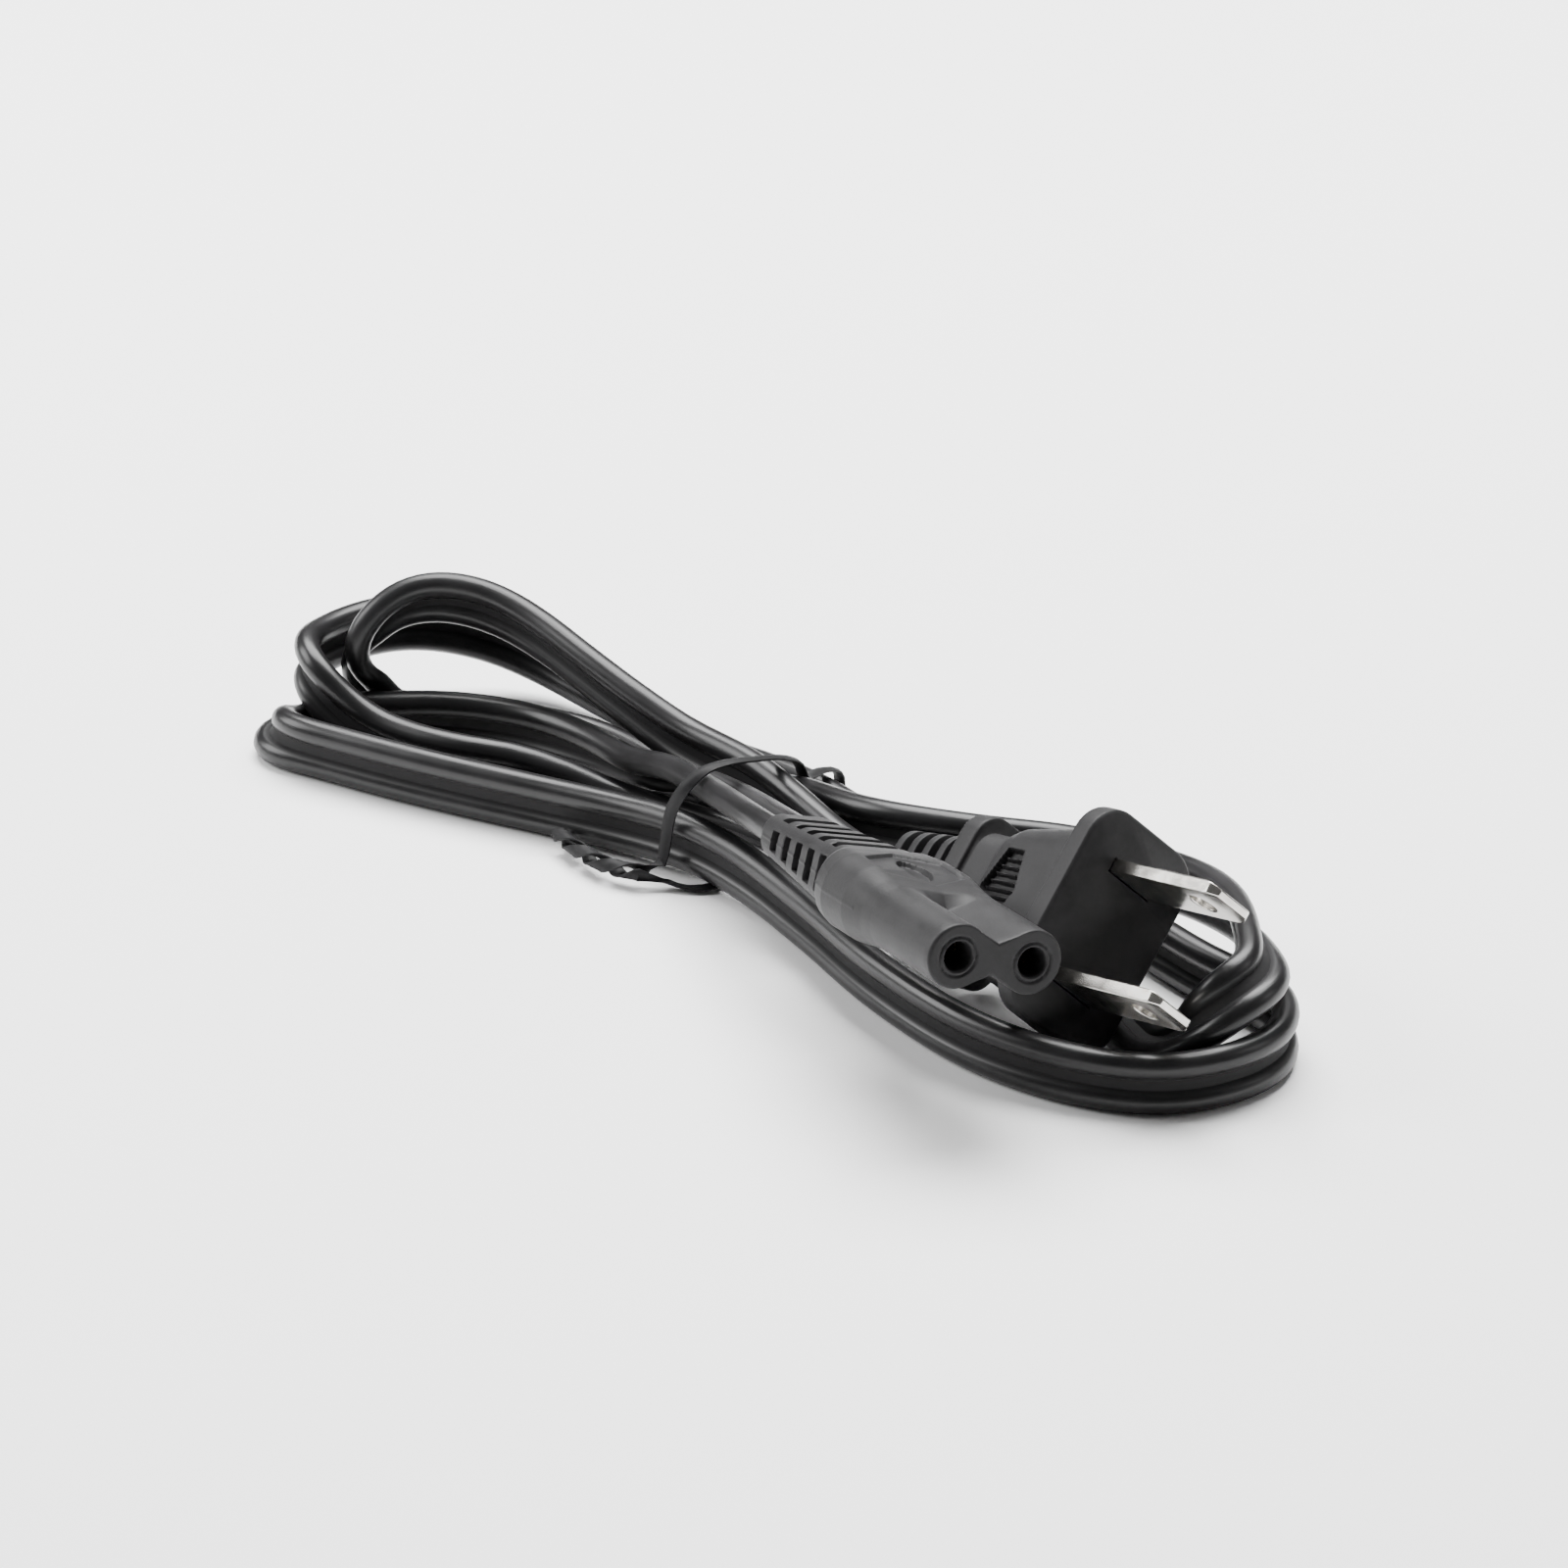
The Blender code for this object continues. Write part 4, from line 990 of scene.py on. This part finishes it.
def make_connector(mat):
    angles = np.arange(CONNECTOR_ANGLES) * 2 * math.pi / CONNECTOR_ANGLES
    rings = []
    for back in connector_backs():
        p, q = connector_section(back, angles)
        if 13.0 < back < CONNECTOR_BODY_END - 0.5:
            sunk = np.maximum(dish_depth(back, p), panel_depth(back, p))
            q = q - np.where(q > 0, sunk, 0.0)
        if 16.0 < back < CONNECTOR_LENGTH - 0.5:
            ridge = SEAM_HEIGHT * soft_step(SEAM_HALF - np.abs(q) + 0.1, 0.2)
            p = p + np.sign(p) * ridge
        rings.append([(-back, a, b) for a, b in zip(p, q)])
    p, q = connector_section(0.5, angles)
    edge = CONNECTOR_FACE_EDGE
    hole = CONNECTOR_HOLE_PITCH / 2
    for k in range(5):
        turn = math.pi / 2 * k / 4
        shrink = edge * (1 - math.cos(turn))
        length = np.hypot(p, q)
        keep = 1 - shrink / length
        rings.append([(-edge * (1 - math.sin(turn)), a, b) for a, b in zip(p * keep, q * keep)])
    rim_p = np.array([point[1] for point in rings[-1]])
    rim_q = np.array([point[2] for point in rings[-1]])
    for share in np.linspace(0.97, 0.04, 36):
        a = rim_p * share
        b = rim_q * share
        off = np.minimum(np.hypot(a - hole, b), np.hypot(a + hole, b))
        groove = soft_step(0.22 - np.abs(off - BORE_LIP_DIAMETER / 2 - 0.1), 0.2)
        rings.append(list(zip(-0.18 * groove, a, b)))
    mesh = loft("connector_moulding", rings)
    for side in (-1, 1):
        middle = side * hole
        bore = BORE_DIAMETER / 2
        chamber = CHAMBER_DIAMETER / 2
        profile = [
            (-CHAMBER_END, chamber),
            (-BORE_DEPTH, chamber),
            (-BORE_DEPTH + 0.01, bore),
            (-0.35, bore),
            (-0.1, bore + 0.1),
            (0.05, bore + 0.3),
            (0.5, bore + 0.3),
        ]
        mesh = combine(mesh, turned("bore", middle, profile), "DIFFERENCE")
    mesh.name = "connector_moulding"
    place = pose(CONNECTOR_AT, CONNECTOR_OUT, CONNECTOR_RIGHT)
    return add_posed("connector_moulding", mesh, mat, 42.0, "connector_body", place)


def make_sleeve(name, side, mat, node):
    """Rolled contact sleeve with a flared mouth."""
    middle = side * CONNECTOR_HOLE_PITCH / 2
    outer = SLEEVE_OUTER / 2
    inner = SLEEVE_INNER / 2
    body = turned(name, middle, [(-SLEEVE_END, outer - 0.1), (-SLEEVE_END + 0.1, outer), (-5.4, outer),
                                 (-5.0, outer - 0.12), (-4.4, outer - 0.12), (-4.0, outer),
                                 (-SLEEVE_START - 0.1, outer), (-SLEEVE_START, outer - 0.1)])
    cutter = turned("inner", middle, [(-SLEEVE_END - 1, inner), (-SLEEVE_START - 0.5, inner),
                                      (-SLEEVE_START - 0.05, inner + 0.2), (-SLEEVE_START + 1, inner + 0.2)])
    mesh = combine(body, cutter, "DIFFERENCE")
    mesh.name = name
    place = pose(CONNECTOR_AT, CONNECTOR_OUT, CONNECTOR_RIGHT)
    return add_posed(name, mesh, mat, 40.0, node, place)


# Tie

def tie_outline():
    """Strip with a wire down its middle: thick there, thin at both edges."""
    half_w = TIE_WIDTH / 2
    ring = []
    count = 18
    for k in range(count):
        angle = 2 * math.pi * k / count
        c = math.cos(angle)
        s = math.sin(angle)
        edge = TIE_EDGE_THICKNESS / 2
        bulge = (TIE_THICKNESS - TIE_EDGE_THICKNESS) / 2 * math.exp(-(c / 0.38) ** 2)
        across = half_w * math.copysign(abs(c) ** 0.75, c)
        through = (edge + bulge) * math.copysign(abs(s) ** 0.5, s)
        ring.append((across, through))
    return ring


def make_tie(mat):
    """One strip: along the twist, round the bundle and back along the twist."""
    line = through_stations(TIE_TWIST_LINE, 0.05)
    marks = np.linspace(0, len(line) - 1, TIE_TWIST_STEPS + 1).astype(int)
    line = line[marks]
    t = tangents(line)
    level = square_to(np.tile((0.0, 0.0, 1.0), (len(t), 1)), t)
    other = np.cross(t, level)
    phase = np.linspace(0, 2 * math.pi * TIE_TWIST_TURNS, len(t))[:, None]
    radial = np.cos(phase) * other + np.sin(phase) * level
    flat = -np.sin(phase) * other + np.cos(phase) * level
    near = line + TIE_TWIST_OFFSET * radial
    far = line - TIE_TWIST_OFFSET * radial
    loop = through_stations(TIE_LOOP, 0.5)[::2]
    along_x = np.tile((1.0, 0.0, 0.0), (len(loop), 1))
    points = np.vstack([near[::-1], loop, far])
    wide = np.vstack([flat[::-1], along_x, -flat])
    points = points - np.array((FOOTPRINT_X, FOOTPRINT_Y, 0.0))
    mesh = sweep("twist_tie", points, wide, tie_outline())
    return add_piece("twist_tie", mesh, mat, 50.0, "wire_tie")


# Stage

def make_camera():
    az = math.radians(CAMERA_AZIMUTH)
    el = math.radians(CAMERA_ELEVATION)
    back = Vector((math.sin(az) * math.cos(el), -math.cos(az) * math.cos(el), math.sin(el)))
    target = Vector((-FOOTPRINT_X, -FOOTPRINT_Y, 0.0)) * MM
    data = bpy.data.cameras.new("camera")
    data.sensor_width = SENSOR_WIDTH
    data.lens = PIXELS_PER_MM * CAMERA_DISTANCE / IMAGE_SIZE * SENSOR_WIDTH
    data.clip_start = 0.05
    data.clip_end = 20.0
    camera = bpy.data.objects.new("camera", data)
    camera.location = target + back * CAMERA_DISTANCE * MM
    camera.rotation_mode = "QUATERNION"
    camera.rotation_quaternion = (-back).to_track_quat("-Z", "Y")
    bpy.context.scene.collection.objects.link(camera)
    bpy.context.scene.camera = camera


def make_floor():
    size = 3.0
    corners = [(-size, -size, 0), (size, -size, 0), (size, size, 0), (-size, size, 0)]
    mesh = mesh_from("floor", [(x, y, -0.00005) for x, y, _ in corners], [(0, 1, 2, 3)])
    mesh.materials.append(floor_material())
    floor = bpy.data.objects.new("floor", mesh)
    bpy.context.scene.collection.objects.link(floor)


def area_light(name, location, target, size, power, colour=(1.0, 1.0, 1.0)):
    data = bpy.data.lights.new(name, "AREA")
    data.shape = "RECTANGLE"
    data.size = size[0]
    data.size_y = size[1]
    data.energy = power
    data.color = colour
    light = bpy.data.objects.new(name, data)
    light.location = location
    direction = Vector(target) - Vector(location)
    light.rotation_mode = "QUATERNION"
    light.rotation_quaternion = direction.to_track_quat("-Z", "Y")
    bpy.context.scene.collection.objects.link(light)


def make_lights():
    world = bpy.data.worlds.new("studio")
    bpy.context.scene.world = world
    world.use_nodes = True
    background = world.node_tree.nodes["Background"]
    background.inputs["Color"].default_value = (1.0, 1.0, 1.0, 1.0)
    background.inputs["Strength"].default_value = 0.14
    middle = (0.0, 0.0, 0.01)
    area_light("top_box", (-0.20, 0.30, 0.75), middle, (0.8, 0.6), 31.0)
    area_light("left_box", (-0.70, -0.35, 0.45), middle, (0.5, 0.5), 9.0)
    area_light("right_rim", (0.75, 0.45, 0.45), middle, (0.3, 0.4), 1.0)


def main():
    make_camera()
    cord, path = make_cord()
    moulding = moulding_material()
    nickel = nickel_material()
    brass = brass_material()
    plug = make_plug(moulding)
    upper = make_blade("blade_upper", -1, nickel, "plug_blade_upper")
    lower = make_blade("blade_lower", 1, nickel, "plug_blade_lower")
    make_connector(moulding)
    make_sleeve("contact_left", -1, brass, "connector_contact_left")
    make_sleeve("contact_right", 1, brass, "connector_contact_right")
    make_tie(tie_material())
    make_floor()
    make_lights()


main()
